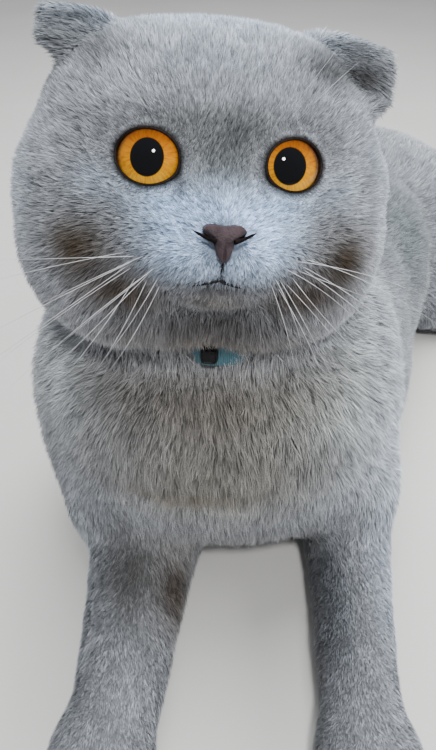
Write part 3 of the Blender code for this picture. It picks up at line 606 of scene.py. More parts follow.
def set_round_eye(local, side):
    """Snap the nearest points to the rim, push those inside back, and keep the others
    before the ball."""
    x, y, z = local.T
    radius = open_radius(x, z, side)
    front = y < FACE_FRONT
    middle = side * OPEN_MIDDLE[0]
    on_rim = front & (np.abs(radius - 1) < RIM_SNAP)
    rim_x = middle + (x - middle) / radius
    rim_z = OPEN_MIDDLE[1] + (z - OPEN_MIDDLE[1]) / radius
    ball = ball_y(x, z, side)
    inside = front & (radius <= 1 - RIM_SNAP)
    outside = front & (radius >= 1 + RIM_SNAP) & (radius < BEFORE_BALL)
    y = np.where(inside, ball + BEHIND, y)
    y = np.where(outside, np.minimum(y, ball - RIM_LIFT), y)
    y = np.where(on_rim, ball_y(rim_x, rim_z, side) - RIM_LIFT, y)
    return np.column_stack([np.where(on_rim, rim_x, x), y, np.where(on_rim, rim_z, z)])


local = to_head(skin_places)
for side in SIDES.values():
    local = set_round_eye(local, side)
skin_places = from_head(local)
skin_places[:, 2] = np.maximum(skin_places[:, 2], LOWEST_SKIN)
normals = point_normals(skin_places, skin_triangles)
print("skin box in mm:", (np.ptp(skin_places, axis=0) * 1000).round(1))

# %% [markdown]
# A coat of one colour still has tones of its own: paler on the muzzle, the bridge and below
# the eyes, darker at the corners of the eyes, brownish on the chin, the ruff and the breast.
# Light and shade are painted into it as well: a dark brown painted shadow under the chin,
# painted shade on the lower cheeks and jaw, round the mouth, on the throat under the ruff, on
# the ear flaps, under their folds and round them, in a crease of the chest, on the forelegs
# and on the far part of the body, and painted light on the muzzle and bridge, the crown, the
# crests of the ears, the rims of the cheeks, the sides of the chest and the outer edges of
# the forelegs. A table of soft patches gives all of these, and skin and tufts both read them
# from an attribute, so they always agree. Tufts hang a few millimetres from their roots, so
# each patch lies that much higher, or nearer to the nose, than the shade that it makes.

# %% Tones, painted light and painted shade of the coat
# name: (place in the head's frame in mm, reach across, forward and up, tint)
HEAD_TONES_AND_PAINTED_LIGHT = {
    # muzzle, bridge and beside the nose: paler in tone, and painted light as well
    "muzzle": ((9, -64, -19), (11, 14, 8), (1.42, 1.62, 1.85)),
    "bridge": ((0, -60, -4), (8, 12, 7), (1.46, 1.74, 2.12)),
    "beside_nose": ((15, -57, -8), (9, 12, 9), (1.44, 1.74, 2.10)),
    "brow_band": ((0, -50, 16.5), (27, 14, 8), (0.52, 0.52, 0.50)),
    "between_eyes": ((0, -54, 7.5), (13, 12, 8), (0.36, 0.37, 0.35)),
    "inner_corner": ((11.5, -52, 0), (1.8, 9, 3.6), (0.50, 0.48, 0.48)),
    "outer_corner": ((34, -43, 14), (6, 9, 5), (0.76, 0.75, 0.74)),
    "outer_light": ((35, -46, 1), (7, 10, 6), (1.22, 1.30, 1.38)),
    "below_eye": ((19, -53, -2), (11, 12, 4.5), (1.20, 1.32, 1.44)),
    # painted light from above on the crown, bluish
    "crown": ((0, -10, 52), (50, 34, 13), (0.97, 1.11, 1.26)),
    "forehead": ((0, -42, 33), (32, 20, 9), (0.74, 0.77, 0.81)),
    "brow_left": ((30, -46, 20), (12, 12, 7), (0.74, 0.74, 0.76)),
    "temple_left": ((48, -25, 10), (12, 18, 14), (0.78, 0.82, 0.87)),
    # painted rim light on the outer edges of the cheeks
    "cheek_rim_light_right": ((-60, -22, -4), (9, 20, 22), (1.22, 1.28, 1.34)),
    "cheek_rim_light_left": ((60, -14, -2), (9, 20, 22), (1.18, 1.24, 1.30)),
    # painted shade on the lower cheeks and the jaw, brownish
    "low_cheek_shade_right": ((-38, -45, -17), (12, 14, 9), (0.22, 0.16, 0.10)),
    "low_cheek_shade_left": ((37, -46, -18), (12, 15, 10), (0.14, 0.095, 0.055)),
    "jaw_side_shade": ((27, -51, -28), (14, 14, 7), (0.20, 0.125, 0.07)),
    # painted shade round the mouth, below the overhanging whisker pads
    "mouth": ((5, -62, -25), (9, 8, 2.4), (0.46, 0.42, 0.39)),
    "chin": ((0, -60, -29), (14, 9, 4), (0.80, 0.70, 0.60)),
    # painted shadow under the chin, dark brown
    "under_chin": ((0, -51, -38), (29, 18, 7), (0.045, 0.022, 0.010)),
    "ruff_band": ((0, -44, -47), (42, 20, 8), (0.56, 0.46, 0.36)),
    "philtrum": ((0, -66, -20.5), (1.3, 8, 3.4), (0.40, 0.37, 0.36)),
    # the ears: painted shade on the flaps and round their bases, painted shadow under each fold,
    # painted light along each crest
    "flap_shade_right": ((-46, -14, 42), (12, 9, 5), (0.50, 0.50, 0.49)),
    "fold_shadow_right": ((-41, -9, 46.5), (12, 5, 2.6), (0.28, 0.28, 0.28)),
    "crest_light_right": ((-42, 4, 50), (16, 6, 4), (1.60, 1.64, 1.68)),
    "before_ear_shade_right": ((-36, -26, 37), (10, 12, 8), (0.32, 0.31, 0.295)),
    "flap_shade_left": ((50, -12, 36), (10, 10, 9), (0.26, 0.25, 0.24)),
    "fold_shadow_left": ((46, -4, 44), (10, 5, 3), (0.42, 0.42, 0.42)),
    "crest_light_left": ((44, 6, 49), (16, 6, 3.5), (1.50, 1.54, 1.58)),
    "before_ear_shade_left": ((34, -31, 35), (12, 14, 9), (0.20, 0.196, 0.185)),
    "ear_base_shade_left": ((42, -18, 37), (11, 12, 9), (0.24, 0.236, 0.225)),
}
# name: (place from the floor below the head in mm, reach, tint)
BODY_TONES_AND_PAINTED_LIGHT = {
    "breast": ((0, -70, 98), (52, 45, 30), (0.76, 0.69, 0.57)),
    # painted shadow on the throat under the ruff
    "throat": ((0, -52, 122), (60, 40, 12), (0.74, 0.68, 0.60)),
    # painted rim light on the sides of the chest
    "breast_left": ((74, -36, 82), (24, 45, 40), (1.55, 1.62, 1.66)),
    "chest_left_rim_light": ((42, -48, 116), (22, 40, 15), (1.46, 1.52, 1.48)),
    "side_right_rim_light": ((-62, -28, 112), (20, 40, 20), (1.62, 1.66, 1.62)),
    "chest_low": ((0, -66, 76), (36, 40, 14), (1.24, 1.25, 1.22)),
    "belly_front": ((0, -52, 40), (50, 30, 14), (0.90, 0.86, 0.80)),
    # painted shade in a crease of the chest
    "chest_fold_shade": ((-14, -64, 84), (26, 30, 4), (0.60, 0.53, 0.46)),
    # the forelegs: painted rim light on the outer edges, painted shade down the middle, brownish
    # painted shadow on the inner sides
    "leg_rim_light_right": ((-60, -62, 32), (9, 50, 24), (1.55, 1.62, 1.66)),
    "leg_mid_shade_right": ((-36, -68, 37), (9, 22, 12), (0.40, 0.39, 0.37)),
    "leg_inner_shadow_right": ((-19, -68, 30), (9, 20, 16), (0.26, 0.20, 0.15)),
    "leg_rim_light_left": ((73, -62, 30), (9, 50, 24), (1.55, 1.62, 1.72)),
    "leg_mid_shade_left": ((48, -72, 30), (9, 32, 12), (0.50, 0.52, 0.54)),
    "leg_inner_shadow_left": ((38, -70, 26), (8, 44, 24), (0.52, 0.50, 0.48)),
    # painted shade on the far part of the body
    "body_behind_shade": ((105, 100, 105), (60, 70, 50), (0.44, 0.48, 0.48)),
}
BASE_GREY = (0.325, 0.342, 0.372)
LID_START, LID_END, LID_DARK = 1.02, 1.16, 0.88
MOTTLE, MOTTLE_SIZE = 0.07, 0.022
print("patches of shade:", len(HEAD_TONES_AND_PAINTED_LIGHT) + len(BODY_TONES_AND_PAINTED_LIGHT))

# %% [markdown]
# Each patch multiplies the colour towards its own tint, most at its middle. Multiplying
# keeps the coat's own unevenness, which painting one colour over another would hide.

# %% How the tones and the painted light and shade blend
def tinted(colour, places, middle, reach, tint):
    """The colour times 1 + bell * (tint - 1), with the bell exp(-|distance / reach|^2)."""
    near = np.exp(-(((places - np.array(middle)) / np.array(reach)) ** 2).sum(axis=1))
    return colour * (1 + near[:, None] * (np.array(tint) - 1))


def tones_and_painted_light_at(places):
    """The coat's colour: the base grey under all the soft patches of tone, painted light and
    painted shade, dark at the lids' edges.
    """
    q = to_head(places)
    colour = np.tile(np.array(BASE_GREY), (len(places), 1))
    for name, (place, reach, tint) in HEAD_TONES_AND_PAINTED_LIGHT.items():
        for twin in twins(name, place):
            colour = tinted(colour, q * 1000, twin, reach, tint)
    for _, radius, front in eye_rings(q):
        margin = (1 - smooth_step(radius, LID_START, LID_END)) * front
        colour = colour * (1 - LID_DARK * margin)[:, None]
    body = (places - BELOW_HEAD) * 1000
    for place, reach, tint in BODY_TONES_AND_PAINTED_LIGHT.values():
        colour = tinted(colour, body, place, reach, tint)
    return colour * (1 + MOTTLE * waves(places, MOTTLE_SIZE, SEED + 30))[:, None]


def waves(places, size, seed, count=9):
    """Smooth noise from -1 to 1: a mean of sine waves that run in random directions."""
    draw = np.random.default_rng(seed)
    ways = unit(draw.normal(size=(count, 3))) * draw.uniform(0.7, 1.5, (count, 1))
    phase = draw.uniform(0, 2 * math.pi, count)
    return np.sin(places @ ways.T * (2 * math.pi / size) + phase).sum(axis=1) / math.sqrt(count)


# %% [markdown]
# The skin is made from the drawn-in wrap. Its unwrap also serves the tufts: each tuft takes
# a small patch at the place where its root stands.

# %% The skin and its unwrap
def add_shade(mesh, colours):
    """Store a colour for each point in the attribute that both materials read."""
    shade = mesh.attributes.new("coat_tone_and_painted_light", "FLOAT_COLOR", "POINT")
    rows = np.column_stack([colours, np.ones(len(colours))]).astype(np.float32)
    shade.data.foreach_set("color", rows.ravel())


flesh.vertices.foreach_set("co", skin_places.astype(np.float32).ravel())
flesh.update()
flesh.shade_smooth()
flesh.name = "skin"
skin = linked("skin", flesh)
add_shade(flesh, tones_and_painted_light_at(skin_places))


def unwrap(piece):
    """Cut the surface into charts by its own slopes and lay them flat, with no overlap."""
    piece.data.uv_layers.new(name="OFBake")
    bpy.context.view_layer.objects.active = piece
    piece.select_set(True)
    bpy.ops.object.mode_set(mode="EDIT")
    bpy.ops.mesh.select_all(action="SELECT")
    bpy.ops.uv.smart_project(angle_limit=math.radians(75), island_margin=0.001)
    bpy.ops.object.mode_set(mode="OBJECT")
    piece.select_set(False)


unwrap(skin)
skin_uv = read_rows(flesh.uv_layers["OFBake"].data, "uv", 2)
flesh.calc_loop_triangles()
triangle_loops = read_rows(flesh.loop_triangles, "loops", 3, np.int64)
print("unwrap:", skin_uv.min().round(3), "to", skin_uv.max().round(3))

# %% [markdown]
# The lie of the coat: on the head tufts stream away from the nose, over the brow and out
# across the cheeks, and hang at the ruff. Round the eyes they turn away from the lids. On
# the body they follow the spots' own ways.

# %% The lie of the coat
STREAM_SOURCE = np.array([0.0, -0.086, -0.012])
EAR_LIE = {"right": np.array([-1.0, -0.20, -0.15]), "left": np.array([0.85, -0.20, -0.60])}
HANG = np.array([0, 0.10, -0.75])
AWAY_FROM_LIDS, EAR_STRETCH = 1.8, (1.1, 1, 1)


def head_lie(q):
    """The way tufts lie at places q of the head's frame."""
    lie = unit(q - STREAM_SOURCE)
    low = smooth_step(-q[:, 2], -0.004, 0.040)
    lie = lie + low[:, None] * HANG
    for name, (side, radius, front) in zip(SIDES, eye_rings(q)):
        near = hump(radius, 0.95, 0.45) * front
        away = (q - np.array([side * OPEN_MIDDLE[0], 0, OPEN_MIDDLE[1]])) * (1, 0, 1)
        lie = lie + AWAY_FROM_LIDS * near[:, None] * unit(away)
        spot = np.array(HEAD_SPOTS[f"ear_{name}"][0]) * 1e-3
        from_ear = np.linalg.norm((q - spot) / EAR_STRETCH, axis=1)
        on_ear = smooth_step(-from_ear, -0.019, -0.013)[:, None]
        lie = lie * (1 - on_ear) + EAR_LIE[name] * on_ear
    return unit(lie)


def lie_at(places, body_lie, head_share):
    """The way tufts lie in the row frame, head and body blended."""
    way = head_lie(to_head(places)) @ HEAD_TURN.T
    return unit(body_lie + way * head_share[:, None])


# %% [markdown]
# A plush coat parts into small clumps. Each tuft will lean towards the middle of its clump,
# and all tufts of a clump share a little of their length and tone. Roots are strewn over
# the skin's triangles by area, so no grid shows through.

# %% Clumps and roots
def clumps(places, cell, seed):
    """The way to the nearest clump's middle, and three chance numbers of that clump.

    One middle is drawn in each cube of a lattice, by a sine of the cube's own number.
    """
    base = np.floor(places / cell).astype(np.int64)
    best = np.full(len(places), np.inf)
    pull, luck = np.zeros_like(places), np.zeros_like(places)
    for step in np.ndindex(3, 3, 3):
        home = base + np.array(step) - 1
        key = (home @ np.array([73856093, 19349663, 83492791]) + seed) % 1000003
        drawn = (np.sin(key[:, None] * np.array([12.9898, 78.233, 37.719])) * 43758.5453) % 1
        offset = (home + drawn) * cell - places
        away = (offset**2).sum(axis=1)
        nearer = away < best
        best[nearer], pull[nearer], luck[nearer] = away[nearer], offset[nearer], drawn[nearer]
    return pull, (luck * 7.31) % 1


def root_sample(count, density, draw):
    """Chance places on the skin, thicker where density is high, with normals and unwrap."""
    a, b, c = (skin_places[skin_triangles[:, k]] for k in range(3))
    area = np.linalg.norm(np.cross(b - a, c - a), axis=1) / 2
    weight = area * density[skin_triangles].mean(axis=1)
    chosen = np.searchsorted(np.cumsum(weight) / weight.sum(), draw.random(count))
    chosen = np.minimum(chosen, len(skin_triangles) - 1)
    u, v = draw.random((2, count))
    u, v = np.where(u + v > 1, 1 - u, u), np.where(u + v > 1, 1 - v, v)
    shares = np.stack([1 - u - v, u, v], axis=1)
    corner = skin_triangles[chosen]
    roots = (skin_places[corner] * shares[..., None]).sum(axis=1)
    normal = unit((normals[corner] * shares[..., None]).sum(axis=1))
    flat = (skin_uv[triangle_loops[chosen]] * shares[..., None]).sum(axis=1)
    return roots, normal, flat


# %% [markdown]
# Each tuft is a thin kite of four points and two triangles: a root, two points half way and
# a tip. It leaves the skin at a slant and bends down along the lie, rolled by chance about
# its own length, and pulled to its clump most at the tip. The normals are mostly those of
# the skin below, so that the coat shades as one soft surface. All tufts of a piece are
# worked out together as arrays.

# %% A mesh of tufts
TUFT_FACES = np.array([0, 1, 2, 1, 3, 2])
ROLL, LATE_RISE, PULL_AT_MID = 0.9, 0.45, 0.3
ROUNDED, RUFFLED = 0.30, 0.22
ROOT_SUNK, LOWEST_TUFT = 0.0004, 0.0003
PATCH = 0.003


def add_uv(piece, name, values):
    """Store a place for each face corner in a new UV map."""
    rows = np.asarray(values, np.float32)
    piece.data.uv_layers.new(name=name).data.foreach_set("uv", rows.ravel())


def tuft_piece(name, tufts, draw):
    """One mesh of tufts, from arrays of roots and of each tuft's own values.

    Mid point = root + first way * length / 2 + pull * 0.3, and tip = root + (first way +
    second way) * length / 2 + pull, where the first way rises from the lie by the stand
    angle and the second by 0.45 of it.
    """
    root, normal, way, pull = (tufts[key] for key in ("root", "normal", "way", "pull"))
    count = len(root)
    rise = tufts["stand"] * draw.uniform(0.75, 1.2, count)
    first, second = (way * np.cos(angle)[:, None] + normal * np.sin(angle)[:, None]
                     for angle in (rise, rise * LATE_RISE))
    across = unit(np.cross(normal, way))
    roll = draw.uniform(-ROLL, ROLL, count)[:, None]
    side = across * np.cos(roll) + np.cross(first, across) * np.sin(roll)
    half = side * tufts["width"][:, None] / 2
    step = (tufts["length"] * 0.5)[:, None]
    mid = root + first * step + pull * PULL_AT_MID
    tip = root + (first + second) * step + pull
    places = np.stack([root - normal * ROOT_SUNK, mid - half, mid + half, tip], axis=1)
    places[..., 2] = np.maximum(places[..., 2], LOWEST_TUFT)
    corners = (np.arange(count)[:, None] * 4 + TUFT_FACES).ravel()
    counts = np.full(count * 2, 3)
    piece = mesh_piece(name, places.reshape(-1, 3), corners, counts, checked=False)
    ruffle = RUFFLED * draw.normal(size=(count, 3))
    soft = unit(normal + ROUNDED * np.cross(first, side) + ruffle)
    soft = np.repeat(soft, 4, axis=0).astype(np.float32)
    piece.data.normals_split_custom_set_from_vertices(soft)
    add_shade(piece.data, np.repeat(tufts["shade"], 4, axis=0))
    up, aside = np.array([0.0, 0.5, 0.5, 1.0]), np.array([0.5, 0.0, 1.0, 0.5])
    patch = tufts["flat"][:, None] + PATCH * np.stack([aside - 0.5, up - 0.5], axis=1)[None]
    add_uv(piece, "OFBake", patch.reshape(-1, 2)[corners])
    strand = np.stack([np.repeat(tufts["tone"], 4), np.tile(up, count)], axis=1)
    add_uv(piece, "strand", strand[corners])
    return piece


# %% [markdown]
# How thick the coat stands follows from how long it is: short tufts need many roots to
# hide the skin, long ones few. No tufts grow inside the eyes' openings, on the nose leather
# or on what faces the floor.

# %% Where tufts grow
TUFTS = 715000
NOSE_MIDDLE, NOSE_HALF = (0.0, -0.0125), (0.0066, 0.0054)
FACE_THICKER, REAR_THINNER, UNDER_SIDE = 0.60, 0.50, 0.02


def growth(places, length, head_share):
    """Roots for each unit of area, before scaling: 1 / length, more on the face, and fewer
    at the rear."""
    q = to_head(places)
    thick = 0.004 / length * (1 + FACE_THICKER * head_share * (q[:, 1] < -0.01))
    for _, radius, front in eye_rings(q):
        thick = np.where((radius < LID_START) & front, 0, thick)
    leather = np.hypot(q[:, 0] / NOSE_HALF[0], (q[:, 2] - NOSE_MIDDLE[1]) / NOSE_HALF[1])
    thick = np.where((leather < 0.85) & (q[:, 1] < -0.05), 0, thick)
    under = (places[:, 2] < 0.004) & (normals[:, 2] < -0.3)
    rear_part = smooth_step(places[:, 1] - BELOW_HEAD[1], 0.06, 0.14)
    return np.where(under, UNDER_SIDE, thick * (1 - REAR_THINNER * rear_part))


depth, length, lie, head_share = coat_at(skin_places)
draw = np.random.default_rng(SEED)
density = growth(skin_places, length, head_share)
roots, root_normals, flat = root_sample(TUFTS, density, draw)
print("tufts:", TUFTS)

# %% [markdown]
# Chance makes a coat look real, but only in measure. Each tuft's length, width, slant and
# tone differ a little from its neighbours', and broad slow waves stir the lie.

# %% The clumps, lengths and slants of the tufts
SMALL_CLUMP, LARGE_CLUMP = 0.0011, 0.0036
SMALL_PULL, SMALL_PULL_LOST, LARGE_PULL, PULL_LOST_BY_EYE = 0.50, 0.15, 0.28, 0.6
BROAD_STIR, NARROW_STIR, SMALL_STIR, LARGE_STIR, OWN_STIR = 0.14, 0.12, 0.34, 0.36, 0.12
LENGTH_WAVE, CLUMP_LENGTH = 0.10, 0.18
STAND_SHARE, LOWEST_STAND, HIGHEST_STAND, STAND_LOST_BY_EYE = 0.62, 0.28, 1.10, 0.35
WIDTH_SHARE, THINNEST, THICKEST = 0.046, 0.00014, 0.00025
OWN_TONE, SMALL_TONE, LARGE_TONE = 0.56, 0.34, 0.20

depth, length, lie, head_share = coat_at(roots)
q = to_head(roots)
near_eye = eye_nearness(q)


def along_skin(rows):
    """Rows with the part that leaves the skin taken away."""
    return rows - root_normals * (rows * root_normals).sum(axis=1)[:, None]


small_pull, small_luck = clumps(roots, SMALL_CLUMP, SEED)
large_pull, large_luck = clumps(roots, LARGE_CLUMP, SEED + 1)
plush = smooth_step(length, 0.0045, 0.0085)[:, None]
way = lie_at(roots, lie, head_share)
broad = np.stack([waves(roots, 0.030, SEED + k) for k in range(3)], axis=1)
narrow = np.stack([waves(roots, 0.009, SEED + 5 + k) for k in range(3)], axis=1)
way = way + BROAD_STIR * broad + NARROW_STIR * narrow + SMALL_STIR * (small_luck - 0.5)
way = way + plush * LARGE_STIR * (large_luck - 0.5) + OWN_STIR * draw.normal(size=(TUFTS, 3))
way = unit(along_skin(way))
pull = along_skin(small_pull * (SMALL_PULL - SMALL_PULL_LOST * plush)
                  + large_pull * plush * LARGE_PULL)
pull *= (1 - PULL_LOST_BY_EYE * near_eye)[:, None]
length = length * (1 + LENGTH_WAVE * waves(roots, 0.02, SEED + 9))
length = length * draw.uniform(0.70, 1.12, TUFTS)
length = length * (1 + CLUMP_LENGTH * (small_luck[:, 0] - 0.5)
                   + CLUMP_LENGTH * (large_luck[:, 0] - 0.5))
stand = np.clip(depth / length / STAND_SHARE, LOWEST_STAND, HIGHEST_STAND)
stand = stand * (1 - STAND_LOST_BY_EYE * near_eye)
width = np.clip(length * WIDTH_SHARE, THINNEST, THICKEST) * draw.uniform(0.75, 1.25, TUFTS)
tone = 0.5 + OWN_TONE * (draw.random(TUFTS) - 0.5) + SMALL_TONE * (small_luck[:, 1] - 0.5)
tone = np.clip(tone + LARGE_TONE * (large_luck[:, 1] - 0.5), 0, 1)
tufts = {"root": roots, "normal": root_normals, "flat": flat, "length": length, "width": width,
         "way": way, "pull": pull, "stand": stand, "tone": tone, "shade": tones_and_painted_light_at(roots)}
print("tufts in mm:", (length.mean() * 1000).round(2), "by", (width.mean() * 1000).round(3))

# %% [markdown]
# One mesh of all the tufts would be too heavy. They are shared out by region, and a region
# with many tufts takes several pieces.

# %% The coat in pieces
MOST_TUFTS = 95000
FACE_BACK, LEGS_TOP, RIBS_START, REAR_START = -0.020, 0.055, 0.03, 0.15
body_y = roots[:, 1] - BELOW_HEAD[1]
rest = head_share <= 0.5
REGIONS = {
    "coat_face": ~rest & (q[:, 1] < FACE_BACK),
    "coat_head": ~rest & (q[:, 1] >= FACE_BACK),
    "coat_breast": rest & (body_y < RIBS_START) & (roots[:, 2] > LEGS_TOP),
    "coat_forelegs": rest & (body_y < RIBS_START) & (roots[:, 2] <= LEGS_TOP),
    "coat_ribs": rest & (body_y >= RIBS_START) & (body_y < REAR_START),
    "coat_rear": rest & (body_y >= REAR_START),
}
coat_pieces = []
for region, inside in REGIONS.items():
    rows = np.flatnonzero(inside)
    parts = np.array_split(rows, math.ceil(len(rows) / MOST_TUFTS))
    for number, part in enumerate(parts, start=1):
        chosen = {key: value[part] for key, value in tufts.items()}
        coat_pieces.append(tuft_piece(f"{region}_{number}", chosen, draw))
print("coat pieces:", [(piece.name, len(piece.data.polygons)) for piece in coat_pieces])

# %% [markdown]
# A cat's eyeball is nearly filled by the iris. The ball is a grid of rings round the way it
# looks, with the clear front swelling a little. Each point keeps its place across the iris
# in an attribute, from which the material draws the oval pupil, the fibres and the rim.

# %% Eyeballs
LOOK = {"right": (-0.188, -0.970, 0.154), "left": (0.004, -0.990, 0.144)}
BALL_RINGS, BALL_SPOKES, CORNEA_SWELL = 64, 96, 0.035


def eyeball(name, side):
    """Ball of rings: place = middle + radius * (cos a * look + sin a * (cos b * across +
    sin b * up)), where a runs from the middle of the pupil to the back and b around it."""
    look = unit(np.array(LOOK[name]))
    across = unit(np.cross(look, (0, 0, 1.0)))
    up = np.cross(across, look)
    a = np.linspace(0.01, math.pi - 0.01, BALL_RINGS) ** 1.15 / math.pi**0.15
    a = a[:, None]
    b = full_turn(BALL_SPOKES)[None]
    swollen = BALL_RADIUS * (1 + CORNEA_SWELL * (1 - smooth_step(a, 0.45, 0.95)))
    x, z = np.sin(a) * np.cos(b), np.sin(a) * np.sin(b)
    grid = (swollen * np.cos(a))[..., None] * look + (swollen * x)[..., None] * across
    grid = grid + (swollen * z)[..., None] * up
    grid = from_head(grid + np.array([side * EYE_SPACING / 2, EYE_DEPTH, EYE_HEIGHT]))
    piece = closed_tube(f"eyeball_{name}", grid[:, ::-1])
    flat = (x[:, ::-1], z[:, ::-1], np.broadcast_to(a, x.shape))
    ends = ((0, 0), (0, 0), (0, math.pi))
    x, z, far = (np.concatenate([value.ravel(), end]) for value, end in zip(flat, ends))
    reach = np.maximum(np.hypot(x, z), 1e-4)
    for key, rows in (("iris_place", (x, z, far)),
                      ("iris_ray", (x / reach, z / reach, far * 0.35))):
        layer = piece.data.attributes.new(key, "FLOAT_VECTOR", "POINT")
        layer.data.foreach_set("vector", np.stack(rows, axis=1).astype(np.float32).ravel())
    return piece


eyeballs = {name: eyeball(name, side) for name, side in SIDES.items()}
print("eyeballs:", [len(piece.data.polygons) for piece in eyeballs.values()])

# %% [markdown]
# The rims of the lids are dark, moist and thin. Each is a tube along the oval of the
# opening, laid on the ball, with its point at the inner corner.

# %% Lids
def rim_path(side, turn, scale=1.0):
    """Places on the oval of an eye's opening, on the ball, at the given angles."""
    reach = scale * rim_share(turn)
    x = side * (OPEN_MIDDLE[0] + OPEN_HALF[side][0] * reach * np.cos(turn))
    z = OPEN_MIDDLE[1] + OPEN_HALF[side][1] * reach * np.sin(turn)
    return np.stack([x, ball_y(x, z, side), z], axis=-1)


LID_WIDE, LID_UPPER, LID_CORNER, LID_INWARD = 0.00046, 0.00014, 0.00080, 0.0001
LID_DEEP, LID_FORWARD = 0.0005, 0.0003


def lid_rim(name, side, steps=120, sides=12):
    """A tube round the opening: path + out * cos v * wide + forward * sin v * deep."""
    turn = full_turn(steps)
    path, outer = rim_path(side, turn), rim_path(side, turn, 1.05)
    out = unit(outer - path)
    forward = unit(path - np.array([side * EYE_SPACING / 2, EYE_DEPTH, EYE_HEIGHT]))
    around = full_turn(sides)[None, :, None]
    corner = (rim_share(turn) - 1) / CORNER_REACH
    wide = (LID_WIDE + LID_UPPER * np.sin(turn) + LID_CORNER * corner)[:, None, None]
    grid = path[:, None] + out[:, None] * (np.cos(around) * wide - LID_INWARD)
    grid = grid + forward[:, None] * (np.sin(around) * LID_DEEP + LID_FORWARD)
    grid = grid if side < 0 else grid[:, ::-1]
    quads = grid_faces(steps, sides, round_rows=True)[:, ::-1]
    return quad_piece(f"lid_rim_{name}", from_head(grid.reshape(-1, 3)), quads)


lids = {name: lid_rim(name, side) for name, side in SIDES.items()}
print("lids:", list(lids))

# %% [markdown]
# The nose leather is a rounded pad, broad above and narrow below. A nostril opens low at each
# side and runs out into a slit beside the leather, and a groove divides the narrow part. The
# pad is a surface of rings inside one smooth outline; nostrils are deep bell-shaped hollows,
# and each slit is a tapered near-black tube along the leather's lower edge, a painted shadow
# where the slit lies.

# %% Nose leather
# The right half of the outline, in mm from the middle of the nose: across, up.
NOSE_OUTLINE = ((0, 4.3), (2.8, 4.6), (4.8, 4.4), (5.8, 3.3), (5.6, 2.2), (4.2, 1.0), (3.0, 0.0),
                (2.4, -1.2), (1.9, -2.6), (1.2, -4.2), (0, -5.2))
NOSE_FRONT, NOSE_THICK = -0.0666, 0.0050
NOSE_RINGS, NOSE_WALL, NOSE_SPOKES = 48, 6, 120


def closed_curve(points, count):
    """Evenly spread places on a smooth closed curve through the points."""
    points = np.array(points, float)
    where = np.linspace(0, len(points), count, endpoint=False)
    start = where.astype(int)
    t = (where - start)[:, None]
    a, b, c, d = (points[(start + k) % len(points)] for k in (-1, 0, 1, 2))
    return 0.5 * (2 * b + (c - a) * t + (2 * a - 5 * b + 4 * c - d) * t**2
                  + (3 * b - a - 3 * c + d) * t**3)


def nose_leather():
    """Rings from the middle to the outline, then back into the muzzle."""
    other_half = [(-x, z) for x, z in NOSE_OUTLINE[-2:0:-1]]
    outline = closed_curve([*NOSE_OUTLINE, *other_half], NOSE_SPOKES) * 1e-3
    ring = np.concatenate([np.linspace(0.03, 1.0, NOSE_RINGS), np.full(NOSE_WALL, 1.0)])[:, None]
    back = np.concatenate([np.zeros(NOSE_RINGS), np.linspace(0.15, 1, NOSE_WALL)])[:, None]
    x = ring * outline[None, :, 0]
    z = NOSE_MIDDLE[1] + ring * outline[None, :, 1]
    dome = 1 - np.sqrt(np.clip(1 - (ring * 0.97) ** 2.6, 0, 1))
    y = NOSE_FRONT + 0.0020 * dome + 0.10 * (z - NOSE_MIDDLE[1]) + back * NOSE_THICK
    for way in (1, -1):
        slant = z - NOSE_MIDDLE[1] - 0.0004 - 0.62 * (way * x - 0.0030)
        hollow = np.exp(-(((way * x - 0.0040) / 0.0018) ** 2) - (slant / 0.0008) ** 2)
        y = y + 0.0030 * hollow * (back == 0)
    y = y + 0.0007 * bell(x, z, (0, -0.0158), (0.0004, 0.0030)) * (back == 0)
    return closed_tube("nose_leather", from_head(np.stack([x, y, z], axis=-1)))


nose = nose_leather()
print("nose leather:", len(nose.data.polygons))

# %% [markdown]
# The line of the mouth shows as a dark arch in the short fur, with a line from the nose down
# to it. A groove cut in the skin would vanish under the tufts, so these lines are thin dark
# tubes that lie about level with the tips of the fur. So are the slits of the nostrils, as
# painted shadow where each slit lies.

# %% Lips and nostril slits
def tube_grid(path, radius, sides):
    """Rings round a path: side * cos v + up * sin v, times the radius at each step."""
    along = unit(np.gradient(path, axis=0))
    aside = unit(np.cross(along, (0.13, 0.31, 0.94)))
    up = np.cross(aside, along)
    v = full_turn(sides)[None, :, None]
    ring = aside[:, None] * np.cos(v) + up[:, None] * np.sin(v)
    return path[:, None] + ring * np.asarray(radius)[:, None, None]


def joined_tubes(name, runs, sides):
    """One object of closed tubes, from paths in the head's frame with a radius at each step."""
    tubes = [closed_tube(name, from_head(tube_grid(*run, sides))) for run in runs]
    with bpy.context.temp_override(active_object=tubes[0], selected_editable_objects=tubes):
        bpy.ops.object.join()
    tubes[0].name = tubes[0].data.name = name
    return tubes[0]


def on_face(x, z, sunk=0.0):
    """Places on the coat's front at x and z, in mm in the head's frame, sunk by some mm."""
    x, z = np.asarray(x, float) * 1e-3, np.asarray(z, float) * 1e-3
    return np.stack([x, face_y(x, z) + sunk * 1e-3, z], axis=-1)


def lip_line():
    """The two sides of the mouth's arch and the line above it."""
    t = np.linspace(0, 1, 16)
    taper = 1 - t**2
    runs = [
        (on_face(-0.3 - 7.4 * t, -23.0 - 2.4 * t**0.8, 0.55), 0.00044 * taper + 0.0001),
        (on_face(-0.3 + 6.8 * t, -23.0 - 2.6 * t**0.8, 0.55), 0.00044 * taper + 0.0001),
        (on_face(-0.2 * t, -17.6 - 5.0 * t, 0.50), 0.00034 - 0.00014 * t),
    ]
    return joined_tubes("lip_line", runs, 8)


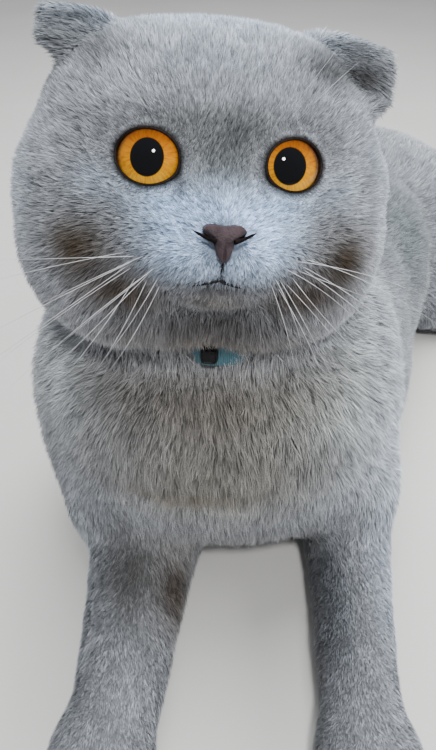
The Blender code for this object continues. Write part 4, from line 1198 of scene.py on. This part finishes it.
def nostril_slits():
    """Two tapered tubes of painted shadow, each along an arc from beside the leather to its lower
    edge.
    """
    t = np.linspace(0, 1, 18)
    runs = []
    for way in (-1, 1):
        slit = on_face(way * (8.5 - 6.0 * t), -9.5 - 3.2 * t + 0.9 * t**2)
        slit[:, 1] = np.minimum(slit[:, 1], NOSE_FRONT + 0.0026 * (1 - t))
        runs.append((slit, (0.00034 + 0.00034 * t**1.5) * np.minimum(1, 0.2 + 4 * t)))
    return joined_tubes("nostril_slits", runs, 8)


lips, slits = lip_line(), nostril_slits()
print("lips and slits:", len(lips.data.polygons), len(slits.data.polygons))

# %% [markdown]
# Whiskers are long tapered hairs that spring from the pads and bend outwards, with a pair
# over each brow. Each is a tube along a smooth curve through a root on the skin, a bend
# and a tip, so it has thickness from every side, which a flat strip has not.

# %% Whiskers
HAIR_STEPS, HAIR_TIP = 18, 0.000012
HAIR_ROOT = {"right": 0.00009, "left": 0.00009, "brow_right": 0.00005, "brow_left": 0.00005}
# name: rows of root across and up, bend (x, y, z) and tip (x, y, z), in mm in the head's frame
WHISKERS = {
    "right": ((-26, -17.7, -48, -56, -22, -78, -40, -34), (-24, -20, -45, -60, -30, -74, -42, -50),
              (-23, -18.5, -42, -60, -19, -66, -46, -23),
              (-19.5, -23, -33, -64, -36, -50, -54, -56), (-25, -21, -46, -58, -36, -76, -40, -62),
              (-17, -24, -24, -64, -36, -33, -56, -50), (-24.5, -22, -44, -60, -34, -68, -46, -57),
              (-22, -25, -40, -62, -38, -60, -50, -60), (-23.4, -25, -34, -62, -42, -46, -52, -58),
              (-20, -25, -28, -62, -42, -36, -52, -56),
              (-16.4, -26.5, -24, -62, -42, -31, -52, -54),
              (-21, -18, -36, -64, -24, -52, -56, -34), (-18, -21, -30, -64, -30, -44, -56, -44)),
    "left": ((25, -17.5, 44, -60, -20, 84, -38, -44), (24, -21, 34, -60, -24, 50, -48, -30),
             (22, -18, 40, -62, -18, 66, -48, -28), (18, -23.5, 25, -64, -34, 38, -54, -54),
             (25, -20.5, 42, -60, -30, 70, -44, -52), (15.5, -25, 20, -64, -36, 25, -56, -50),
             (24.5, -19.5, 40, -60, -26, 62, -46, -42), (20.5, -25, 28, -62, -32, 42, -52, -46),
             (18.3, -26.5, 25, -62, -36, 34, -54, -52), (22, -23, 30, -62, -33, 48, -50, -48),
             (19, -20, 30, -64, -24, 44, -56, -36), (16, -22.5, 22, -64, -32, 27, -56, -45)),
    "brow_right": ((-17, 21, -22, -58, 30, -28, -54, 38), (-21, 20, -28, -55, 30, -36, -49, 36)),
    "brow_left": ((17, 21, 22, -58, 30, 28, -54, 38), (21, 20, 28, -55, 30, 36, -49, 36)),
}


def curve_through(first, middle, last, count):
    """Places along the curve first * (1-t)^2 + middle * 2t(1-t) + last * t^2."""
    t = np.linspace(0, 1, count)[:, None]
    return first * (1 - t) ** 2 + middle * 2 * t * (1 - t) + last * t**2


def whisker_set(name, rows):
    """One object of all the whiskers of a side, thinning to the tip as 1 - t^1.6."""
    radius = HAIR_ROOT[name] * (1 - np.linspace(0, 1, HAIR_STEPS) ** 1.6) + HAIR_TIP
    runs = []
    for x, z, *rest_of_row in rows:
        bend, tip = np.array(rest_of_row).reshape(2, 3) * 1e-3
        runs.append((curve_through(on_face(x, z, 1.2), bend, tip, HAIR_STEPS), radius))
    return joined_tubes(f"whiskers_{name}", runs, 5)


whiskers = [whisker_set(name, rows) for name, rows in WHISKERS.items()]
print("whiskers:", sum(len(rows) for rows in WHISKERS.values()))

# %% [markdown]
# The collar is a woven band that lies in the coat of the neck, with a small dark slide in
# front. Only the slide and a little of the band beside it show; the rest lies deeper, under
# the ruff. The band is a flat rounded section carried round an oval. Its own unwrap, once
# round and once across, drives the weave.

# %% Collar
BAND_RADII, BAND_HALF_HEIGHT, BAND_HALF_THICK = (0.0530, 0.0520), 0.00475, 0.0011
BAND_MIDDLE = np.array([0.0, COLLAR_Y, 0.1400]) + BELOW_HEAD
BAND_TILT = turn_about("x", 3)
BAND_SUNK, SHOWN_MIDDLE = 0.0032, 1.5 * math.pi + 0.02
SLIDE_HALF, SLIDE_PLACE = 0.0030, (-0.0028, -BAND_RADII[1], 0.0014)


def collar_band(steps=220, sides=20):
    """Section: thick * sign(cos) * |cos|^0.5 outwards, height * sign(sin) * |sin|^0.35 upwards.

    Beside the slide the band sinks 3 mm deeper into the coat of the neck, which covers it.
    """
    around = full_turn(steps)
    way = np.stack([np.cos(around), np.sin(around), 0 * around], axis=1)
    aside = np.abs(around - SHOWN_MIDDLE)
    sunk = BAND_SUNK * smooth_step(aside, 0.08, 0.26) * (1 - smooth_step(aside, 1.1, 1.5))
    path = way * (*BAND_RADII, 0) - way * sunk[:, None]
    v = full_turn(sides)
    out = BAND_HALF_THICK * np.sign(np.cos(v)) * np.abs(np.cos(v)) ** 0.5
    up = BAND_HALF_HEIGHT * np.sign(np.sin(v)) * np.abs(np.sin(v)) ** 0.35
    grid = path[:, None] + way[:, None] * out[None, :, None]
    grid = grid + np.array([0, 0, 1.0]) * up[None, :, None]
    places = grid.reshape(-1, 3) @ BAND_TILT.T + BAND_MIDDLE
    quads = grid_faces(steps, sides, round_rows=True)
    band = quad_piece("collar_band", places, quads[:, ::-1])
    i, j = np.divmod(quads[:, ::-1].ravel(), sides)
    u, w = i / steps, j / sides
    last_step = np.repeat(quads.max(axis=1), 4) >= (steps - 1) * sides
    last_side = np.repeat((quads % sides).max(axis=1), 4) == sides - 1
    u = np.where((u == 0) & last_step, 1.0, u)
    w = np.where((w == 0) & last_side, 1.0, w)
    add_uv(band, "weave", np.stack([u, w], axis=1))
    return band


def slide(steps=48, sides=24):
    """A rounded plate with a raised border: |x|^5 + |z|^5 = 1 across, domed in front."""
    v = full_turn(steps)[None]
    ring = np.concatenate([np.linspace(0.04, 1, sides), np.full(5, 1.0)])[:, None]
    size = (np.abs(np.cos(v)) ** 5 + np.abs(np.sin(v)) ** 5) ** (-1 / 5)
    x, z = ring * size * np.cos(v) * SLIDE_HALF, ring * size * np.sin(v) * SLIDE_HALF
    border = hump(ring, 0.84, 0.10)
    edge = smooth_step(ring, 0.9, 1.0)
    sunk = np.concatenate([np.zeros(sides), np.linspace(0.2, 1, 5)])[:, None]
    y = -0.0030 - 0.0006 * border + 0.0007 * edge + 0.0058 * sunk + 0 * x
    place = np.stack([x, y, z], axis=-1) @ turn_about("z", -6).T + SLIDE_PLACE
    return closed_tube("collar_slide", place @ BAND_TILT.T + BAND_MIDDLE)


band, buckle = collar_band(), slide()
print("collar:", len(band.data.polygons), len(buckle.data.polygons))

# %% [markdown]
# Materials are drawn by nodes. A short helper wires them: it makes a node, sets its fixed
# values and links its inputs, so that each material below reads as a short list. Most small
# parts need no more than a colour that runs between two tones by a fine noise, with a
# little relief, so one function makes all of these.

# %% A helper for materials
class Paint:
    """A new material with its main shader, and ways to add and link nodes."""

    def __init__(self, name, **sockets):
        self.material = bpy.data.materials.new(name)
        self.material.use_nodes = True
        self.tree = self.material.node_tree
        self.shader = self.tree.nodes["Principled BSDF"]
        for socket, value in sockets.items():
            self.shader.inputs[socket.replace("_", " ")].default_value = value

    def node(self, kind, inputs=None, **settings):
        """A node of a kind, its settings, and its inputs as values or as other outputs."""
        node = self.tree.nodes.new(f"ShaderNode{kind}")
        for key, value in settings.items():
            setattr(node, key, value)
        for key, value in (inputs or {}).items():
            if isinstance(value, bpy.types.NodeSocket):
                self.tree.links.new(value, node.inputs[key])
            else:
                node.inputs[key].default_value = value
        return node

    def attribute(self, name, output):
        """One output of the attribute that a mesh carries under a name."""
        node = self.node("Attribute", attribute_name=name, attribute_type="GEOMETRY")
        return node.outputs[output]

    def on_object(self, texture, **inputs):
        """A texture node laid out on the object's own coordinates."""
        place = self.node("TexCoord").outputs["Object"]
        return self.node(texture, {"Vector": place, **inputs})

    def square(self, value, half):
        """The square of a value over half a width."""
        share = self.node("Math", {0: value, 1: half}, operation="DIVIDE").outputs[0]
        return self.node("Math", {0: share, 1: share}, operation="MULTIPLY").outputs[0]

    def ramp(self, factor, stops):
        """A colour ramp with stops of (place, colour or grey)."""
        node = self.node("ValToRGB", {"Fac": factor})
        elements = node.color_ramp.elements
        while len(elements) < len(stops):
            elements.new(1.0)
        for element, (place, colour) in zip(elements, stops):
            element.position = place
            grey = isinstance(colour, (int, float))
            element.color = (colour, colour, colour, 1) if grey else (*colour, 1)
        return node.outputs["Color"]

    def blend(self, first, second, kind="MULTIPLY", factor=1.0):
        """Two colours blended; kind is MIX, MULTIPLY and so on."""
        inputs = {"Factor": factor, 6: first, 7: second}
        return self.node("Mix", inputs, data_type="RGBA", blend_type=kind).outputs[2]

    def link(self, output, socket="Base Color"):
        self.tree.links.new(output, self.shader.inputs[socket])

    def bumpy(self, height, strength, distance):
        node = self.node("Bump", {"Height": height, "Strength": strength, "Distance": distance})
        self.link(node.outputs["Normal"], "Normal")


def grainy(name, scale, low, high, detail=2.0, bump=None, **sockets):
    """A paint between two stops by a fine noise, with relief from the same noise or none."""
    paint = Paint(name, **sockets)
    grain = paint.on_object("TexNoise", Scale=scale, Detail=detail).outputs["Fac"]
    paint.link(paint.ramp(grain, (low, high)))
    if bump:
        paint.bumpy(grain, *bump)
    return paint


def wear(piece, paint):
    """Give a piece its only material."""
    piece.data.materials.clear()
    piece.data.materials.append(paint.material)


# %% [markdown]
# The coat is a dense blue-grey. Each tuft is darker at its root and paler at its tip, partly
# the hair's own tone and partly painted shade deep in the coat and painted light on the
# tips, and no two are quite the same. The skin below is the same colour, darker, with a fine
# grain.

# %% Coat and skin
coat = Paint("coat_blue_grey", Roughness=0.70, Sheen_Weight=0.12, Sheen_Roughness=0.40,
             Specular_IOR_Level=0.18)
strand = coat.node("UVMap", uv_map="strand").outputs[0]
parts = coat.node("SeparateXYZ", {0: strand}).outputs
# darker root to paler tip: partly the hair's tone, partly painted shade and painted light
along = coat.ramp(parts["Y"], ((0.0, 0.38), (0.45, 0.72), (1.0, 1.42)))
chance = coat.ramp(parts["X"], ((0.12, 0.50), (0.5, 0.95), (0.75, 1.30), (1.0, 2.0)))
coat.link(coat.blend(coat.attribute("coat_tone_and_painted_light", "Color"), coat.blend(along, chance)))

hide = Paint("skin_under_coat", Roughness=0.85, Sheen_Weight=0.2)
grain = hide.on_object("TexNoise", Scale=900.0, Detail=3.0).outputs["Fac"]
hide_tone = hide.ramp(grain, ((0.3, 0.34), (0.7, 0.60)))
hide.link(hide.blend(hide.attribute("coat_tone_and_painted_light", "Color"), hide_tone))
hide.bumpy(grain, 0.6, 0.0004)
print("coat and skin:", coat.material.name, hide.material.name)

# %% [markdown]
# An iris is not one colour: fine fibres run out from the pupil, a dark ring bounds it, and
# a painted shadow of the lid darkens its upper part, while painted light makes its lower part
# paler and yellower. All three are multiplied, and the pupil is laid over them as an oval.
# The clear cornea is the shader's own coat layer.

# %% Eyes
PUPIL_HALF = (0.380, 0.418)
iris = Paint("iris_amber", Roughness=0.45, Coat_Weight=1.0, Coat_Roughness=0.03, Coat_IOR=1.33,
             Specular_IOR_Level=0.0)
place_parts = iris.node("SeparateXYZ", {0: iris.attribute("iris_place", "Vector")}).outputs
rays = iris.attribute("iris_ray", "Vector")
fibres = iris.node("TexNoise", {"Vector": rays, "Scale": 11.0, "Detail": 5.0, "Roughness": 0.65})
amber = iris.ramp(fibres.outputs["Fac"], ((0.30, (0.42, 0.150, 0.0)), (0.50, (0.65, 0.275, 0.0)),
                                          (0.72, (0.76, 0.385, 0.0))))
ring = iris.ramp(place_parts["Z"], ((0.0, 0.8), (0.50, 1.0), (0.63, 0.85), (0.74, 0.28),
                                    (0.83, 0.04)))
height = iris.node("MapRange", {"Value": place_parts["Y"], "From Min": -0.6, "From Max": 0.7,
                                "To Min": 1.0, "To Max": 0.0}).outputs[0]
# painted shadow of the upper lid over the top of the iris, painted light on its lower part
painted_lid_shadow_and_light = iris.ramp(height, ((0.0, (0.10, 0.05, 0.02)), (0.22, (0.32, 0.20, 0.12)),
                                (0.5, (0.78, 0.64, 0.5)), (1.0, (1.10, 1.22, 1.0))))
amber = iris.blend(iris.blend(amber, ring), painted_lid_shadow_and_light)
squares = [iris.square(place_parts[axis], half) for axis, half in zip("XY", PUPIL_HALF)]
oval = iris.node("Math", {0: squares[0], 1: squares[1]}, operation="ADD").outputs[0]
pupil = iris.ramp(oval, ((0.90, 1.0), (1.06, 0.0)))
iris.link(iris.blend(amber, (0.003, 0.003, 0.004, 1), "MIX", pupil))

lid_skin = grainy("lid_skin", 1500.0, (0.35, (0.008, 0.006, 0.006)), (0.7, (0.020, 0.014, 0.013)),
                  bump=(0.3, 0.0002), Roughness=0.5, Specular_IOR_Level=0.08)
print("eyes:", iris.material.name, lid_skin.material.name)

# %% [markdown]
# The nose leather is matt and pebbled, in a plum brown. The lines of the mouth and the painted
# shadow of the nostril slits are nearly black and have no gloss, or they would catch the
# light and turn grey.

# %% Nose, lips and whiskers
leather = grainy("nose_leather", 260.0, (0.3, (0.027, 0.019, 0.021)), (0.7, (0.060, 0.042, 0.047)),
                 detail=3.0, Roughness=0.60, Specular_IOR_Level=0.2)
pebbles = leather.on_object("TexVoronoi", Scale=1700.0)
leather.bumpy(pebbles.outputs["Distance"], 0.5, 0.0003)
lip = grainy("lip_dark", 1200.0, (0.3, (0.010, 0.009, 0.009)), (0.7, (0.022, 0.019, 0.019)),
             Roughness=0.8, Specular_IOR_Level=0.1)
# near-black painted shadow for the slits of the nostrils
slit_shadow_paint = grainy("nostril_slit_shadow", 1200.0, (0.3, (0.006, 0.005, 0.005)), (0.7, (0.014, 0.010, 0.010)),
             Roughness=0.9, Specular_IOR_Level=0.0)
hair = grainy("whisker_white", 300.0, (0.3, (0.42, 0.42, 0.44)), (0.7, (0.68, 0.68, 0.70)),
              Roughness=0.35)
print("face:", [paint.material.name for paint in (leather, lip, slit_shadow_paint, hair)])

# %% [markdown]
# The band is woven in two tones of teal: a wave runs round it for the ribs of the weave, and
# a fine checker darkens every other thread. The slide is a dark, slightly scuffed plastic.

# %% Collar finishes
weave = Paint("band_teal", Roughness=0.75, Sheen_Weight=0.25)
weave_map = weave.node("UVMap", uv_map="weave").outputs[0]
weave_place = weave.node("Mapping", {"Vector": weave_map, "Scale": (330.0, 24.0, 1.0)}).outputs[0]
threads = weave.node("TexChecker", {"Vector": weave_place, "Scale": 1.0}).outputs["Color"]
ribs = weave.node("TexWave", {"Vector": weave_place, "Scale": 0.5, "Distortion": 0.6})
ribs = ribs.outputs["Fac"]
teal = weave.ramp(ribs, ((0.2, (0.016, 0.080, 0.110)), (0.8, (0.042, 0.165, 0.210))))
weave.link(weave.blend(teal, threads, factor=0.25))
weave.bumpy(ribs, 0.6, 0.0003)
plastic = grainy("slide_black", 700.0, (0.4, (0.004, 0.004, 0.005)), (0.75, (0.010, 0.010, 0.012)),
                 detail=4.0, bump=(0.15, 0.0002), Roughness=0.5, Specular_IOR_Level=0.15)

FINISHES = ((coat_pieces, coat), ([skin], hide), (eyeballs.values(), iris),
            (lids.values(), lid_skin), ([nose], leather), ([lips], lip), ([slits], slit_shadow_paint),
            (whiskers, hair), ([band], weave), ([buckle], plastic))
for pieces, paint in FINISHES:
    for piece in pieces:
        wear(piece, paint)
print("finishes:", len(FINISHES))

# %% [markdown]
# Every piece rides on the one body. The skin stands for all the nodes of flesh.

# %% Bind the pieces to the frame
for piece in [skin, *coat_pieces, *lids.values(), lips, *whiskers]:
    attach(piece, "root")
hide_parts(*FLESH)
for name, piece in eyeballs.items():
    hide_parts(f"eye_{name}")
    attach(piece, "root")
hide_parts("nose")
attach(slits, "root")
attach(nose, "root")
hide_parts("collar")
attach(band, "root")
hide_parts("collar_buckle")
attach(buckle, "root")

# %% [markdown]
# A plain pale floor and soft round lights, as in a studio: a small key in front and above,
# a wide one overhead behind the head, and one at the cat's left for the rim. Only the key
# shows in the eyes, as one clear highlight in each; large lights would fog the irises. The
# camera stands where the photograph was taken from, above and ahead of the cat, looking
# down at it.

# %% Floor, lights and camera
def floor_sheet(half=3.0, cells=8):
    """A level sheet: a grid of equal squares at the floor's height."""
    line = np.linspace(-half, half, cells + 1)
    x, y = np.meshgrid(line, line)
    places = np.stack([x, y, 0 * x], axis=-1).reshape(-1, 3)
    return quad_piece("floor", places, grid_faces(cells + 1, cells + 1, round_columns=False))


floor = floor_sheet()
wear(floor, grainy("floor_pale", 6.0, (0.3, (0.60, 0.59, 0.57)), (0.7, (0.64, 0.63, 0.61)),
                   Roughness=0.6))
floor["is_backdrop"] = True


def soft_light(name, place, power, size, tint=(1, 1, 1), mirrored=False):
    """A round light aimed at the head, seen in the eyes only where mirrored is true."""
    lamp = bpy.data.lights.new(name, "AREA")
    lamp.shape = "DISK"
    lamp.energy, lamp.size, lamp.color = power, size, tint
    light = linked(name, lamp)
    light.visible_glossy = mirrored
    light.location = Vector(BELOW_HEAD) + Vector(place)
    target = Vector(BELOW_HEAD) + Vector((0.0, 0.02, 0.15))
    light.rotation_euler = (target - light.location).to_track_quat("-Z", "Y").to_euler()


soft_light("key", (0.06, -0.62, 0.95), 8.0, 0.12, mirrored=True)
soft_light("overhead", (0.05, 0.30, 1.15), 20.0, 0.75, (0.97, 0.99, 1.0))
soft_light("rim", (0.85, 0.0, 0.50), 7.5, 0.6)
world = bpy.data.worlds.new("studio")
world.use_nodes = True
sky = world.node_tree.nodes["Background"].inputs
sky["Color"].default_value, sky["Strength"].default_value = (0.86, 0.88, 0.92, 1), 0.45
bpy.context.scene.world = world

SENSOR, FOCAL_PIXELS, PICTURE_TALL = 36.0, 650, 750
CAMERA_PLACE, CAMERA_TILT = (0.0, -0.22, 0.275), 50
view = bpy.data.cameras.new("photograph")
view.sensor_width, view.lens = SENSOR, FOCAL_PIXELS / PICTURE_TALL * SENSOR
view.clip_start = 0.01
camera = linked("photograph", view)
camera.location = Vector(BELOW_HEAD) + Vector(CAMERA_PLACE)
camera.rotation_euler = (math.radians(CAMERA_TILT), 0, 0)
bpy.context.scene.camera = camera

# %% The size of what shows
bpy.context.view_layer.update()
shown = [piece.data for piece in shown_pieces()]
print("triangles:", sum(len(mesh.loops) - 2 * len(mesh.polygons) for mesh in shown))
